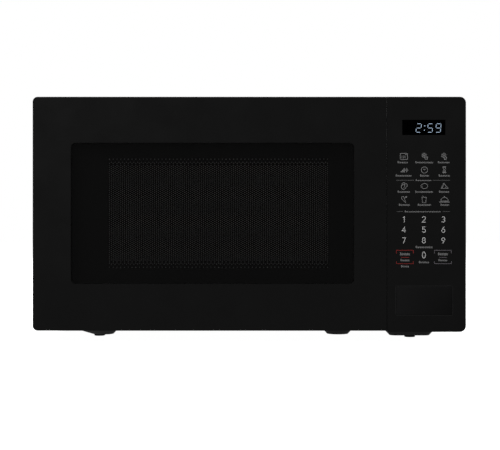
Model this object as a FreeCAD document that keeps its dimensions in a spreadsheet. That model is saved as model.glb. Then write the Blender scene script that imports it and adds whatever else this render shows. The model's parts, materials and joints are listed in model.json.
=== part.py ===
"""Countertop microwave oven, 451 x 256 x 342 mm, as a parametric FreeCAD document.

Row frame: millimetres, +Z up, the front faces -Y, +X is to the right of someone facing the oven. The
origin is on the table under the middle of the oven. The driving sizes are in the spreadsheet "dims" and
every feature is bound to them; each sub-part is one labelled object, written to parts/LABEL.step.
"""

import FreeCAD, Part
import math
import os
import re
import Sketcher
from FreeCAD import Placement, Rotation, Vector

# ---------------------------------------------------------------- driving dimensions

DIMENSIONS = {
    # whole oven
    "overall_width": 451.0,
    "overall_height": 256.0,
    "overall_depth": 342.0,
    "steel": 0.8,  # sheet steel of casing, cavity and base
    "seat_gap": 0.1,  # between fixed pieces
    # front: door and control panel mouldings
    "door_width": 368.6,
    "fascia_gap": 0.4,  # between door and control panel
    "fascia_depth": 29.0,
    "door_base": 12.45,  # lower edge of the door above the table
    "panel_base": 11.2,
    "overlay_setback": 0.15,  # front of the printed sheet behind the door's face
    "moulding": 2.5,  # wall of the plastic mouldings
    "door_face": 3.0,
    "door_corner": 5.2,
    "panel_corner": 6.3,
    "window_left": -185.8,
    "window_right": 109.1,
    "window_low": 61.1,
    "window_high": 208.1,
    "window_corner": 5.0,
    "pane_setback": 0.3,
    "pane_thick": 2.7,
    # door interior
    "pan_left": -208.0,
    "pan_right": 131.0,
    "pan_low": 24.5,
    "pan_high": 245.5,
    "pan_depth": 10.5,
    "screen_back": 14.8,  # rear face of the screen plate behind the oven front
    "sight_left": -165.0,  # see-through opening in the choke cover
    "sight_right": 100.0,
    "sight_low": 58.0,
    "sight_high": 210.0,
    "hinge_from_left": 9.0,
    "hinge_from_front": 19.0,
    "hinge_pin": 2.5,  # radius
    # cavity
    "body_gap": 1.0,  # between the fascia mouldings and the front plate
    "front_plate": 1.0,
    "cavity_left": -195.0,
    "cavity_right": 111.0,
    "cavity_floor": 36.0,
    "cavity_roof": 240.0,
    "cavity_depth": 290.0,
    "well_depth": 4.0,
    "well_flat": 104.0,  # radius of the flat bottom of the turntable well
    "well_rim": 112.0,
    # casing and base
    "case_width": 445.0,
    "case_top": 254.0,
    "case_back": 166.5,
    "base_level": 11.0,  # underside of the flat of the base plate
    "dome_level": 2.0,  # underside of the pressed domes
    "foot_radius": 5.8,
    # turntable
    "roller_radius": 7.0,
    "roller_track": 92.0,
    "tray_radius": 127.5,
    "tray_thick": 4.0,
    "tray_rise": 9.0,
    # control panel
    "display_left": 159.15,
    "display_right": 204.0,
    "display_low": 216.15,
    "display_high": 232.0,
    "button_left": 152.2,
    "button_right": 211.7,
    "button_low": 28.2,
    "button_high": 59.2,
    "button_travel": 6.0,
    "button_gap": 0.6,
    # latch
    "hook_left": 133.0,
    "hook_width": 5.0,
    "hook_tip": 31.0,  # hook tips behind the hinge axis
    "hook_low": 72.0,  # underside of the lower shank
    "hook_high": 190.0,
    "shank": 8.0,
    "nose": 5.0,
    "latch_lift": 3.2,
    # fan
    "fan_x": 168.0,
    "fan_z": 160.0,
    "fan_radius": 44.0,
}

doc = FreeCAD.newDocument("microwave_oven")
sheet = doc.addObject("Spreadsheet::Sheet", "dims")
for row, (alias, size) in enumerate(DIMENSIONS.items(), 1):
    sheet.set(f"A{row}", alias)
    sheet.set(f"B{row}", str(size))
    sheet.setAlias(f"B{row}", alias)
doc.recompute()

# ---------------------------------------------------------------- places worked out from the dimensions

FRONT = "(-overall_depth / 2)"
LEFT = "(-overall_width / 2)"
RIGHT = "(overall_width / 2)"
DOOR_RIGHT = f"({LEFT} + door_width)"
PANEL_LEFT = f"({DOOR_RIGHT} + fascia_gap)"
FASCIA_BACK = f"({FRONT} + fascia_depth)"
PLATE_FRONT = f"({FASCIA_BACK} + body_gap)"
PLATE_BACK = f"({PLATE_FRONT} + front_plate)"
HINGE_X = f"({LEFT} + hinge_from_left)"
HINGE_Y = f"({FRONT} + hinge_from_front)"
CAVITY_BACK = f"({PLATE_BACK} + cavity_depth)"
AXIS_X = "((cavity_left + cavity_right) / 2)"
AXIS_Y = f"(({PLATE_BACK} + {CAVITY_BACK}) / 2)"
WELL_FLOOR = "(cavity_floor - well_depth)"
BASE_TOP = "(base_level + steel)"
SCREEN_BACK = f"({FRONT} + screen_back)"
SCREEN_FRONT = f"({SCREEN_BACK} - steel)"
PAN_BACK = f"({SCREEN_FRONT} + pan_depth)"
COVER_BACK = f"({FASCIA_BACK} - 1)"
HOOK_TIP = f"({HINGE_Y} + hook_tip)"
HOOK_RIGHT = "(hook_left + hook_width)"
ROLLER_Z = f"({WELL_FLOOR} + roller_radius + 0.05)"
TRAY_Z = f"({WELL_FLOOR} + 2 * roller_radius + 0.1)"
CASE_SIDE = "(case_width / 2)"
INNER_SIDE = "(case_width / 2 - steel - 0.3)"
REAR_PLATE = "(case_back - 2 * steel - seat_gap)"
FEET = {
    "front_left": (-166.2, -96.5),
    "front_right": (175.9, -110.7),
    "rear_left": (-166.2, 118.0),
    "rear_right": (175.9, 118.0),
}
CASE_SCREWS = (
    ("-216", "30"),
    ("-216", "150"),
    ("216", "30"),
    ("216", "150"),
    ("-160", "247.5"),
    ("0", "247.5"),
    ("160", "247.5"),
)

# ---------------------------------------------------------------- helpers

ALIASES = re.compile(r"\b(" + "|".join(DIMENSIONS) + r")\b")
PLANES = {"XY": "XY_Plane", "XZ": "XZ_Plane", "YZ": "YZ_Plane"}
AXIS_TURN = {
    "z": Rotation(),
    "x": Rotation(Vector(0, 1, 0), 90),
    "y": Rotation(Vector(1, 0, 0), -90),
}
nodes = {}
_serial = [0]


def formula(text):
    """A size given as a number or in words, as an expression on the spreadsheet."""
    return ALIASES.sub(r"dims.\1", str(text))


def value(text):
    return float(sheet.evalExpression(formula(text)))


def bind(target, path, text):
    target.setExpression(path, formula(text))


def serial(stem):
    _serial[0] += 1
    return f"{stem}_{_serial[0]}"


def node(label, thing):
    """Registers thing as the sub-part called label."""
    thing.Label = label
    nodes[label] = thing
    return thing


def box(x, y, z, name="block"):
    """A Part::Box between two corners, each side given as (low, high)."""
    made = doc.addObject("Part::Box", serial(name))
    for axis, side, (low, high) in zip("xyz", ("Length", "Width", "Height"), (x, y, z)):
        bind(made, f"Placement.Base.{axis}", low)
        bind(made, side, f"({high}) - ({low})")
    return made


def solid_of_revolution(kind, at, axis, sizes):
    made = doc.addObject(f"Part::{kind}", serial(kind.lower()))
    made.Placement = Placement(Vector(), AXIS_TURN[axis])
    for letter, place in zip("xyz", at):
        bind(made, f"Placement.Base.{letter}", place)
    for side, size in sizes.items():
        bind(made, side, size)
    return made


def cylinder(at, radius, length, axis="z"):
    """A Part::Cylinder from the centre of its first face, along +axis."""
    return solid_of_revolution("Cylinder", at, axis, {"Radius": radius, "Height": length})


def cone(at, radius_start, radius_end, length, axis="z"):
    sizes = {"Radius1": radius_start, "Radius2": radius_end, "Height": length}
    return solid_of_revolution("Cone", at, axis, sizes)


def loft_between(low, high):
    """Slanted cone between two level circles, each x, y, z and radius."""
    rings = []
    for x, y, z, radius in (low, high):
        ring = doc.addObject("Part::Circle", serial("ring"))
        bind(ring, "Radius", radius)
        for letter, place in zip("xyz", (x, y, z)):
            bind(ring, f"Placement.Base.{letter}", place)
        rings.append(ring)
    made = doc.addObject("Part::Loft", serial("loft"))
    made.Sections = rings
    made.Solid = True
    made.Ruled = True
    return made


def fuse(things):
    made = doc.addObject("Part::MultiFuse", serial("fuse"))
    made.Shapes = things
    return made


def group(things):
    """Separate solids that share one node."""
    made = doc.addObject("Part::Compound", serial("group"))
    made.Links = things
    return made


def cut(base, tools):
    made = doc.addObject("Part::Cut", serial("cut"))
    made.Base = base
    made.Tool = tools[0] if len(tools) == 1 else fuse(tools)
    return made


def tube(at, radius, bore, length, axis="z"):
    return cut(cylinder(at, radius, length, axis), [cylinder(at, bore, length, axis)])


def body(label, at=None, named=True):
    """A PartDesign::Body, with its own origin moved to at. A named one is a sub-part as it stands."""
    made = doc.addObject("PartDesign::Body", serial(label))
    if at:
        for letter, place in zip("xyz", at):
            bind(made, f"Placement.Base.{letter}", place)
    return node(label, made) if named else made


def sketch(owner, plane, level):
    """A sketch parallel to an origin plane: level is its z on XY, its y on XZ and its x on YZ."""
    made = owner.newObject("Sketcher::SketchObject", serial("sketch"))
    support = next(f for f in owner.Origin.OriginFeatures if f.Role == PLANES[plane])
    made.AttachmentSupport = [(support, "")]
    made.MapMode = "FlatFace"
    bind(made, "AttachmentOffset.Base.z", f"-({level})" if plane == "XZ" else level)
    return made


def pin_point(drawing, line, end, x, y):
    """Binds one end of a line to its coordinates."""
    for kind, text in (("DistanceX", x), ("DistanceY", y)):
        rule = Sketcher.Constraint(kind, -1, 1, line, end, value(text))
        drawing.setExpression(f"Constraints[{drawing.addConstraint(rule)}]", formula(text))


def polygon(drawing, points):
    """A closed outline whose corners are bound one by one."""
    places = [Vector(value(x), value(y), 0) for x, y in points]
    turned = places[1:] + places[:1]
    lines = [drawing.addGeometry(Part.LineSegment(a, b), False) for a, b in zip(places, turned)]
    for line, after in zip(lines, lines[1:] + lines[:1]):
        drawing.addConstraint(Sketcher.Constraint("Coincident", line, 2, after, 1))
    for line, (x, y) in zip(lines, points):
        pin_point(drawing, line, 1, x, y)


def rectangle(drawing, x, y):
    polygon(drawing, [(x[0], y[0]), (x[1], y[0]), (x[1], y[1]), (x[0], y[1])])


def circle(drawing, x, y, radius):
    centre = Vector(value(x), value(y), 0)
    ring = drawing.addGeometry(Part.Circle(centre, Vector(0, 0, 1), value(radius)), False)
    pin_point(drawing, ring, 3, x, y)
    rule = drawing.addConstraint(Sketcher.Constraint("Radius", ring, value(radius)))
    drawing.setExpression(f"Constraints[{rule}]", formula(radius))


def extrude(owner, plane, low, high, draw, removes=False):
    """Pads, or pockets, what draw(sketch) draws from level low to level high."""
    before = owner.Shape.Volume if owner.Tip else 0.0
    drawing = sketch(owner, plane, low)
    draw(drawing)
    made = owner.newObject("PartDesign::Pocket" if removes else "PartDesign::Pad", serial("extrusion"))
    made.Profile = drawing
    bind(made, "Length", f"({high}) - ({low})")
    made.Reversed = (plane == "XZ") != removes
    doc.recompute()
    grown = owner.Shape.Volume - before
    if (grown > -1e-6) if removes else (grown < 1e-6):
        raise RuntimeError(f"{owner.Label}: {made.Name} changed nothing")
    if not owner.Shape.isValid():
        raise RuntimeError(f"{owner.Label}: {made.Name} is not a valid shape")
    return made


def pad(owner, plane, low, high, *rectangles):
    return extrude(owner, plane, low, high, lambda s: [rectangle(s, *r) for r in rectangles])


def pocket(owner, plane, low, high, *rectangles):
    return extrude(owner, plane, low, high, lambda s: [rectangle(s, *r) for r in rectangles], True)


def drill(owner, plane, low, high, *circles):
    return extrude(owner, plane, low, high, lambda s: [circle(s, *c) for c in circles], True)


def edges(feature, wanted):
    """The names of the edges for which wanted(midpoint, direction) holds."""
    found = []
    for number, edge in enumerate(feature.Shape.Edges, 1):
        middle = edge.valueAt((edge.FirstParameter + edge.LastParameter) / 2)
        way = edge.tangentAt((edge.FirstParameter + edge.LastParameter) / 2)
        if wanted(middle, way):
            found.append(f"Edge{number}")
    return found


def soften(owner, size, wanted, kind="Fillet"):
    """Fillets or chamfers the chosen edges of a body's tip."""
    base = owner.Tip
    made = owner.newObject(f"PartDesign::{kind}", serial(kind.lower()))
    made.Base = (base, edges(base, wanted))
    bind(made, "Radius" if kind == "Fillet" else "Size", size)
    doc.recompute()
    if not made.Base[1] or not owner.Shape.isValid():
        raise RuntimeError(f"{owner.Label}: {made.Name} found no edge or broke the shape")
    return made


def repeat_round(owner, feature, count):
    """Copies of a feature round the body's own Z axis."""
    made = owner.newObject("PartDesign::PolarPattern", serial("ring"))
    made.Originals = [feature]
    made.Axis = (next(f for f in owner.Origin.OriginFeatures if f.Role == "Z_Axis"), [""])
    made.Angle = 360
    made.Occurrences = count
    owner.Tip = made
    doc.recompute()
    return made


def revolve(owner, points, removes=False):
    """Turns an outline in the body's XZ plane about its own Z axis."""
    drawing = sketch(owner, "XZ", 0)
    polygon(drawing, points)
    made = owner.newObject("PartDesign::Groove" if removes else "PartDesign::Revolution", serial("turned"))
    made.Profile = drawing
    made.ReferenceAxis = (drawing, ["V_Axis"])
    made.Angle = 360
    doc.recompute()
    return made


def corner(x, z):
    """Chooses the edges along Y nearest one corner of the front."""
    place = (value(x), value(z))

    def wanted(middle, way):
        return abs(way.y) > 0.99 and math.hypot(middle.x - place[0], middle.z - place[1]) < 1.0

    return wanted


def any_of(*tests):
    return lambda middle, way: any(test(middle, way) for test in tests)


# ---------------------------------------------------------------- door


def door_frame():
    """One-piece plastic door moulding: flat front, skirt, window opening and hinge bosses."""
    part = body("door_frame")
    pad(part, "XZ", FRONT, FASCIA_BACK, ((LEFT, DOOR_RIGHT), ("door_base", "overall_height")))
    left_corners = any_of(corner(LEFT, "door_base"), corner(LEFT, "overall_height"))
    soften(part, "door_corner", left_corners)
    front = value(FRONT)
    soften(part, 0.5, lambda m, w: abs(m.y - front) < 0.01)
    swing = [(LEFT, f"{FASCIA_BACK} - 6"), (f"{LEFT} + 6", FASCIA_BACK), (LEFT, FASCIA_BACK)]
    extrude(part, "XY", "door_base", "overall_height", lambda s: polygon(s, swing), True)
    inside = (
        (f"{LEFT} + moulding", f"{DOOR_RIGHT} - moulding"),
        ("door_base + moulding", "overall_height - moulding"),
    )
    pocket(part, "XZ", f"{FRONT} + door_face", FASCIA_BACK, inside)
    window = (("window_left", "window_right"), ("window_low", "window_high"))
    pocket(part, "XZ", FRONT, f"{FRONT} + door_face", window)
    window_corners = [corner(x, z) for x in window[0] for z in window[1]]
    soften(part, "window_corner", any_of(*window_corners))
    boss_x = (f"{LEFT} + moulding - 0.5", f"{HINGE_X} + 7.5")
    for low, high in (("22.2", "31.6"), ("237", "246.4")):
        pad(part, "XZ", f"{FRONT} + door_face - 0.5", f"{HINGE_Y} + 5.5", (boss_x, (low, high)))
    drill(part, "XY", "22.2", "30.4", (HINGE_X, HINGE_Y, "4.5"))
    drill(part, "XY", "238.2", "246.4", (HINGE_X, HINGE_Y, "4.5"))
    slot_y = f"{HINGE_Y} - 8"
    slots = [((slot_y, FASCIA_BACK), z) for z in (("18.4", "22.2"), ("246.4", "250.2"))]
    pocket(part, "YZ", f"{LEFT} - 1", f"{LEFT} + moulding + 0.5", *slots)
    pad(
        part,
        "XZ",
        f"{FRONT} + door_face - 0.5",
        f"{FRONT} + door_face + 8",
        (("hook_left + 0.5", f"{HOOK_RIGHT} - 0.5"), ("134", "137")),
    )


def door_window():
    """Smoked pane with a wider flange bonded behind the door face."""
    part = body("door_window")
    gap = "0.15"
    pane_front = f"({FRONT} + pane_setback)"
    pane_back = f"({pane_front} + pane_thick)"
    outline = (
        (f"window_left + {gap}", f"window_right - {gap}"),
        (f"window_low + {gap}", f"window_high - {gap}"),
    )
    pad(part, "XZ", pane_front, pane_back, outline)
    soften(part, "window_corner - 0.15", lambda m, w: abs(w.y) > 0.99)
    flange = (
        ("window_left - 7", "window_right + 7"),
        ("window_low - 7", "window_high + 7"),
    )
    pad(part, "XZ", pane_back, f"{pane_back} + 1.4", flange)


def door_screen():
    """Pressed steel pan. Its flat holds the perforated field, its rim is the choke wall."""
    part = body("door_screen")
    outline = (("pan_left", "pan_right"), ("pan_low", "pan_high"))
    pad(part, "XZ", SCREEN_FRONT, PAN_BACK, outline)
    soften(part, 5.0, lambda m, w: abs(w.y) > 0.99)
    inner = (
        ("pan_left + steel", "pan_right - steel"),
        ("pan_low + steel", "pan_high - steel"),
    )
    pocket(part, "XZ", SCREEN_BACK, PAN_BACK, inner)


def door_choke_cover():
    """Plastic ring on the oven side of the door, with a lip that runs in to the screen."""
    part = body("door_choke_cover")
    outer = (
        (f"{LEFT} + 6", f"{DOOR_RIGHT} - moulding - 0.5"),
        ("door_base + moulding + 1", "overall_height - moulding - 1"),
    )
    pad(part, "XZ", f"{COVER_BACK} - 1.6", COVER_BACK, outer)
    lip = (("sight_left - 1.6", "sight_right + 1.6"), ("sight_low - 1.6", "sight_high + 1.6"))
    pad(part, "XZ", f"{SCREEN_BACK} + 0.4", COVER_BACK, lip)
    sight = (("sight_left", "sight_right"), ("sight_low", "sight_high"))
    pocket(part, "XZ", f"{SCREEN_BACK} + 0.4", COVER_BACK, sight)
    notch_x = (f"{LEFT} + 5", f"{HINGE_X} + 9")
    notches = [(notch_x, z) for z in (("door_base", "34"), ("235", "overall_height"))]
    pocket(part, "XZ", f"{COVER_BACK} - 1.6", COVER_BACK, *notches)
    slots = [
        (
            ("hook_left - 0.7", f"{HOOK_RIGHT} + 0.7"),
            (f"{z} - nose - 1", f"{z} + shank + latch_lift + 1"),
        )
        for z in ("hook_low", "hook_high")
    ]
    pocket(part, "XZ", f"{COVER_BACK} - 1.6", COVER_BACK, *slots)


def door_film():
    film = box(
        ("sight_left - 4", "sight_right + 4"),
        (f"{SCREEN_BACK} + seat_gap", f"{SCREEN_BACK} + 0.4"),
        ("sight_low - 4", "sight_high + 4"),
    )
    node("door_film", film)


def hinge_bushes():
    """Nylon bushes pressed into the two door bosses."""
    at = [(HINGE_X, HINGE_Y, z) for z in ("22.2", "238.2")]
    bushes = [tube(place, "4.5", "hinge_pin + 0.05", "8.2") for place in at]
    node("hinge_bushes", group(bushes))


def latch_hook():
    """Sliding latch bar in the door, with an upper and a lower hook that reach behind the front plate."""
    part = body("latch_hook")
    bar_front, bar_back = f"({HINGE_Y} - 6)", f"({HINGE_Y} + 4)"
    bar = ((bar_front, bar_back), ("hook_low - 10", "hook_high + shank + 10"))
    pad(part, "YZ", "hook_left", HOOK_RIGHT, bar)
    for z in ("hook_low", "hook_high"):
        shank = ((bar_back, HOOK_TIP), (z, f"{z} + shank"))
        pad(part, "YZ", "hook_left", HOOK_RIGHT, shank)
        tip = ((f"{HOOK_TIP} - 5", HOOK_TIP), (f"{z} - nose", z))
        pad(part, "YZ", "hook_left", HOOK_RIGHT, tip)
    tip_back = value(HOOK_TIP)
    nose_edge = lambda m, w: abs(m.y - tip_back) < 0.01 and abs(w.x) > 0.99
    soften(part, 1.2, nose_edge)
    tab = ((f"{FRONT} + door_face + 3", bar_front), ("164", "167"))
    pad(part, "YZ", "hook_left + 0.5", f"{HOOK_RIGHT} - 0.5", tab)


def coil(at, radius, wire, pitch, height, axis="z"):
    """A helical spring from the centre of its first turn, along +axis. wire is the wire's radius."""
    helix = Part.makeHelix(pitch, height, radius)
    profile = Part.Wire(Part.makeCircle(wire, Vector(radius, 0, 0), Vector(0, 1, 0)))
    made = doc.addObject("Part::Feature", serial("coil"))
    made.Shape = Part.Wire(helix).makePipeShell([profile], True, True)
    made.Placement = Placement(Vector(*[value(c) for c in at]), AXIS_TURN[axis])
    return made


def latch_spring():
    """Return spring between the latch bar's tab and a peg on the door moulding."""
    at = ("(hook_left + hook_width / 2)", f"{FRONT} + door_face + 5.2", "137.6")
    node("latch_spring", coil(at, radius=2.0, wire=0.35, pitch=2.6, height=25.8))


# ---------------------------------------------------------------- hinges


def hinges():
    """Steel brackets behind the front plate, each with a tongue and a pin for the door."""
    side = value(INNER_SIDE)
    for label, tongue, leaf, pin in (
        ("hinge_upper", ("247.4", "249.2"), ("222", "249.2"), ("238.8", "247.6")),
        ("hinge_lower", ("19.4", "21.2"), ("19.4", "46.6"), ("21.0", "29.8")),
    ):
        leaf_x = (f"-{side}", "cavity_left - steel - seat_gap")
        leaf_box = box(leaf_x, (PLATE_BACK, f"{PLATE_BACK} + 1.8"), leaf)
        tongue_x = (f"{HINGE_X} - 4.5", f"{HINGE_X} + 6")
        tongue_box = box(tongue_x, (HINGE_Y, f"{PLATE_BACK} + 0.5"), tongue)
        round_end = cylinder((HINGE_X, HINGE_Y, tongue[0]), "4.5", "1.8")
        pin_rod = cylinder((HINGE_X, HINGE_Y, pin[0]), "hinge_pin", f"{pin[1]} - {pin[0]}")
        bracket = fuse([leaf_box, tongue_box, round_end, pin_rod])
        middle = (float(leaf[0]) + float(leaf[1])) / 2
        holes = [
            cylinder((f"{HINGE_X} + 11", PLATE_BACK, middle + side_step), "2.05", "4", "y")
            for side_step in (-7, 7)
        ]
        node(label, cut(bracket, holes))


def hinge_screws():
    """Machine screws that hold the hinge brackets to the front plate."""
    screws = []
    for middle in (235.6, 33.0):
        for step in (-7, 7):
            at = (f"{HINGE_X} + 11", PLATE_FRONT, middle + step)
            head_at = (at[0], f"{PLATE_BACK} + 1.8", at[2])
            shank = cylinder(at, "2", "front_plate + 1.8", "y")
            screws.append(fuse([shank, cylinder(head_at, "3.6", "2.2", "y")]))
    return screws


# ---------------------------------------------------------------- control panel


def panel_housing():
    """Plastic shell of the control panel, with a chute for the release button."""
    part = body("panel_housing")
    skin = f"({FRONT} + 0.5)"
    pad(part, "XZ", skin, FASCIA_BACK, ((PANEL_LEFT, RIGHT), ("panel_base", "overall_height")))
    soften(part, "panel_corner", any_of(corner(RIGHT, "panel_base"), corner(RIGHT, "overall_height")))
    inside = (
        (f"{PANEL_LEFT} + moulding", f"{RIGHT} - moulding"),
        ("panel_base + moulding", "overall_height - moulding"),
    )
    pocket(part, "XZ", f"{FRONT} + door_face", FASCIA_BACK, inside)
    chute = (("button_left - 1.5", "button_right + 1.5"), ("button_low - 1.5", "button_high + 1.5"))
    pad(part, "XZ", f"{FRONT} + door_face - 0.5", f"{FRONT} + 16", chute)
    opening = (("button_left", "button_right"), ("button_low", "button_high"))
    pocket(part, "XZ", skin, f"{FRONT} + 16", opening)
    display = (("display_left - 1", "display_right + 1"), ("display_low - 1", "display_high + 1"))
    pocket(part, "XZ", skin, f"{FRONT} + door_face", display)


def panel_overlay():
    """Full-face printed sheet over the housing, open at the display and the button."""
    part = body("panel_overlay")
    face, skin = f"({FRONT} + overlay_setback)", f"({FRONT} + 0.5)"
    pad(part, "XZ", face, skin, ((PANEL_LEFT, RIGHT), ("panel_base", "overall_height")))
    soften(part, "panel_corner", any_of(corner(RIGHT, "panel_base"), corner(RIGHT, "overall_height")))
    front = value(face)
    soften(part, 0.25, lambda m, w: abs(m.y - front) < 0.01)
    openings = (
        (("display_left", "display_right"), ("display_low", "display_high")),
        (("button_left", "button_right"), ("button_low", "button_high")),
    )
    pocket(part, "XZ", face, skin, *openings)
    button_corners = [corner(x, z) for x in openings[1][0] for z in openings[1][1]]
    soften(part, 1.6, any_of(*button_corners))


def display():
    """Black lens flush with the overlay, and the digit module behind it."""
    lens = body("display_lens")
    face = (
        ("display_left + 0.05", "display_right - 0.05"),
        ("display_low + 0.05", "display_high - 0.05"),
    )
    pad(lens, "XZ", f"{FRONT} + overlay_setback + 0.1", f"{FRONT} + 2.6", face)
    node(
        "display_module",
        box(
            ("display_left + 1", "display_right - 1"),
            (f"{FRONT} + 3.2", f"{FRONT} + 18.8"),
            ("display_low + 0.5", "display_high - 0.5"),
        ),
    )


def control_board():
    """Controller circuit board and the relay, transformer, sounder and connector on it."""
    board_y = (f"{FRONT} + 19", f"{FRONT} + 20.6")
    board = box((f"{PANEL_LEFT} + 6", f"{RIGHT} - 7"), board_y, ("74", "246"))
    holes = [
        cylinder((x, board_y[0], z), "2", "1.6", "y")
        for x in (f"{PANEL_LEFT} + 10", f"{RIGHT} - 11")
        for z in ("79", "241")
    ]
    bare_board = cut(board, holes)
    behind = f"({FRONT} + 20.7)"
    relays = [box((x, f"{x} + 16"), (behind, f"{behind} + 7.6"), ("84", "104")) for x in ("160", "182")]
    supply = box(("158", "196"), (behind, f"{behind} + 8"), ("118", "150"))
    sounder = cylinder(("200", behind, "178"), "6", "7", "y")
    plug = box(("158", "186"), (behind, f"{behind} + 7"), ("186", "194"))
    node("control_board", group([bare_board] + relays + [supply, sounder, plug]))
    keys = box(
        (f"{PANEL_LEFT} + 8", f"{RIGHT} - 9"),
        (f"{FRONT} + door_face + seat_gap", f"{FRONT} + door_face + 1.1"),
        ("76", "206"),
    )
    node("keypad_membrane", keys)


def release_button():
    """Large push button with a dished face, a skirt and a stem that pushes the release lever."""
    part = body("release_button")
    face = (
        ("button_left + button_gap", "button_right - button_gap"),
        ("button_low + button_gap", "button_high - button_gap"),
    )
    pad(part, "XZ", f"{FRONT}", f"{FRONT} + 13", face)
    soften(part, 1.2, lambda m, w: abs(w.y) > 0.99)
    hollow = (
        ("button_left + button_gap + 2", "button_right - button_gap - 2"),
        ("button_low + button_gap + 2", "button_high - button_gap - 2"),
    )
    pocket(part, "XZ", f"{FRONT} + 3.4", f"{FRONT} + 13", hollow)
    middle = "((button_left + button_right) / 2)"
    stem = ((f"{middle} - 4", f"{middle} + 4"), ("42", "46"))
    pad(part, "XZ", f"{FRONT} + 3.2", f"{PLATE_FRONT} + 5", stem)
    centre_z = "((button_low + button_high) / 2)"
    dish = sketch(part, "YZ", "button_left")
    circle(dish, f"{FRONT} - 110 + 0.9", centre_z, "110")
    hollowed = part.newObject("PartDesign::Pocket", serial("dish"))
    hollowed.Profile = dish
    bind(hollowed, "Length", "button_right - button_left")
    hollowed.Reversed = True
    doc.recompute()


def button_springs():
    """Two return springs between the button and the front plate."""
    springs = [
        coil(
            (x, f"{FRONT} + 3.9", "(button_low + button_high) / 2"),
            radius=3.0,
            wire=0.4,
            pitch=4.2,
            height=25.4,
            axis="y",
        )
        for x in ("button_left + 9", "button_right - 9")
    ]
    node("button_springs", group(springs))


# ---------------------------------------------------------------- latch release and interlock

LEVER_Y = f"({PLATE_BACK} + 7)"
LEVER_Z = "62"


def release_lever():
    """Bell crank: the button's stem pushes its long arm back and its short arm lifts the latch."""
    tube_x = "(hook_left - 5.5)"
    barrel = cylinder((tube_x, LEVER_Y, LEVER_Z), "3", "65", "x")
    bore = cylinder((tube_x, LEVER_Y, LEVER_Z), "1.55", "65", "x")
    middle = "((button_left + button_right) / 2)"
    arm_x = (f"{middle} - 3.5", f"{middle} + 3.5")
    long_arm = box(arm_x, (f"{LEVER_Y} - 2.5", f"{LEVER_Y} + 1.5"), ("40", LEVER_Z))
    lift_x = ("hook_left + 0.5", f"{HOOK_RIGHT} - 0.5")
    lift_arm = box(lift_x, (LEVER_Y, f"{LEVER_Y} + 11"), (f"{LEVER_Z} - 2", f"{LEVER_Z} + 4.5"))
    node("release_lever", cut(fuse([barrel, long_arm, lift_arm]), [bore]))
    pin_at = ("hook_left - 8.5", LEVER_Y, LEVER_Z)
    node("lever_pin", cylinder(pin_at, "1.5", "71", "x"))


def interlock_bracket():
    """Plastic frame behind the front plate that carries the lever pin and the three switches."""
    flange_y = (f"{PLATE_BACK} + seat_gap", f"{PLATE_BACK} + 2.1")
    left_ear = box(("hook_left - 8.5", "hook_left - 5.8"), (flange_y[0], f"{LEVER_Y} + 6"), ("50", "70"))
    right_ear = box(("hook_left + 59.8", "hook_left + 62.5"), (flange_y[0], f"{LEVER_Y} + 6"), ("50", "70"))
    cross = box(("hook_left - 8.5", "hook_left + 62.5"), flange_y, ("50", "56"))
    upright = box(("hook_left + 9", "hook_left + 30"), flange_y, ("50", "226"))
    rail = box(("hook_left + 9", "hook_left + 12"), (flange_y[0], f"{HOOK_TIP} + 21"), ("72", "226"))
    catch_z = ("hook_high - nose - 5", "hook_high - nose - 0.4")
    catch = box(("hook_left - 1", "hook_left + 12"), (flange_y[0], f"{HOOK_TIP} - 6"), catch_z)
    frame = fuse([left_ear, right_ear, cross, upright, rail, catch])
    pin_hole = cylinder(("hook_left - 9", LEVER_Y, LEVER_Z), "1.5", "73", "x")
    node("interlock_bracket", cut(frame, [pin_hole]))


SWITCHES = {
    "primary": ("hook_high + 1", "hook_high + 4.5"),
    "monitor": ("hook_high - 28.5", "hook_high - 2.5"),
    "secondary": ("hook_low - 4", "hook_low + 4"),
}


def interlock_switches():
    """Three microswitches behind the hook tips. Each plunger is a piece of its own."""
    centre_x = "(hook_left + hook_width / 2)"
    bodies = []
    for name, (low, plunger_z) in SWITCHES.items():
        case_y = (f"{HOOK_TIP} + 3.5", f"{HOOK_TIP} + 19.5")
        case = box(("hook_left - 1.3", "hook_left + 8.9"), case_y, (low, f"{low} + 27.5"))
        hole = cylinder((centre_x, case_y[0], plunger_z), "1.6", "5", "y")
        bodies.append(cut(case, [hole]))
        plunger = cylinder((centre_x, f"{HOOK_TIP} + 0.4", plunger_z), "1.5", "6", "y")
        node(f"{name}_plunger", plunger)
    node("interlock_switches", group(bodies))


# ---------------------------------------------------------------- cavity


def front_plate():
    """Painted steel plate that the door closes against."""
    part = body("front_plate")
    sheet = ((f"-{INNER_SIDE}", INNER_SIDE), (f"{BASE_TOP} + seat_gap", "case_top - steel - 0.3"))
    pad(part, "XZ", PLATE_FRONT, PLATE_BACK, sheet)
    opening = (("cavity_left", "cavity_right"), ("cavity_floor", "cavity_roof"))
    pocket(part, "XZ", PLATE_FRONT, PLATE_BACK, opening)
    soften(part, 5.0, any_of(*[corner(x, z) for x in opening[0] for z in opening[1]]))
    latch_slots = [
        (
            ("hook_left - 1.2", f"{HOOK_RIGHT} + 2.8"),
            (f"{z} - nose - 1", f"{z} + shank + latch_lift + 1"),
        )
        for z in ("hook_low", "hook_high")
    ]
    hinge_slots = [
        ((f"{HINGE_X} - 4.8", f"{HINGE_X} + 6.3"), z) for z in (("19.1", "21.5"), ("247.1", "249.5"))
    ]
    stem_hole = (("174", "190"), ("38", "49"))
    loom_hole = (("166", "214"), ("110", "215"))
    pocket(part, "XZ", PLATE_FRONT, PLATE_BACK, *latch_slots, *hinge_slots, stem_hole, loom_hole)
    screw_holes = [(f"{HINGE_X} + 11", z, "2.05") for z in ("228.6", "242.6", "26", "40")]
    drill(part, "XZ", PLATE_FRONT, PLATE_BACK, *screw_holes)


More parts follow.
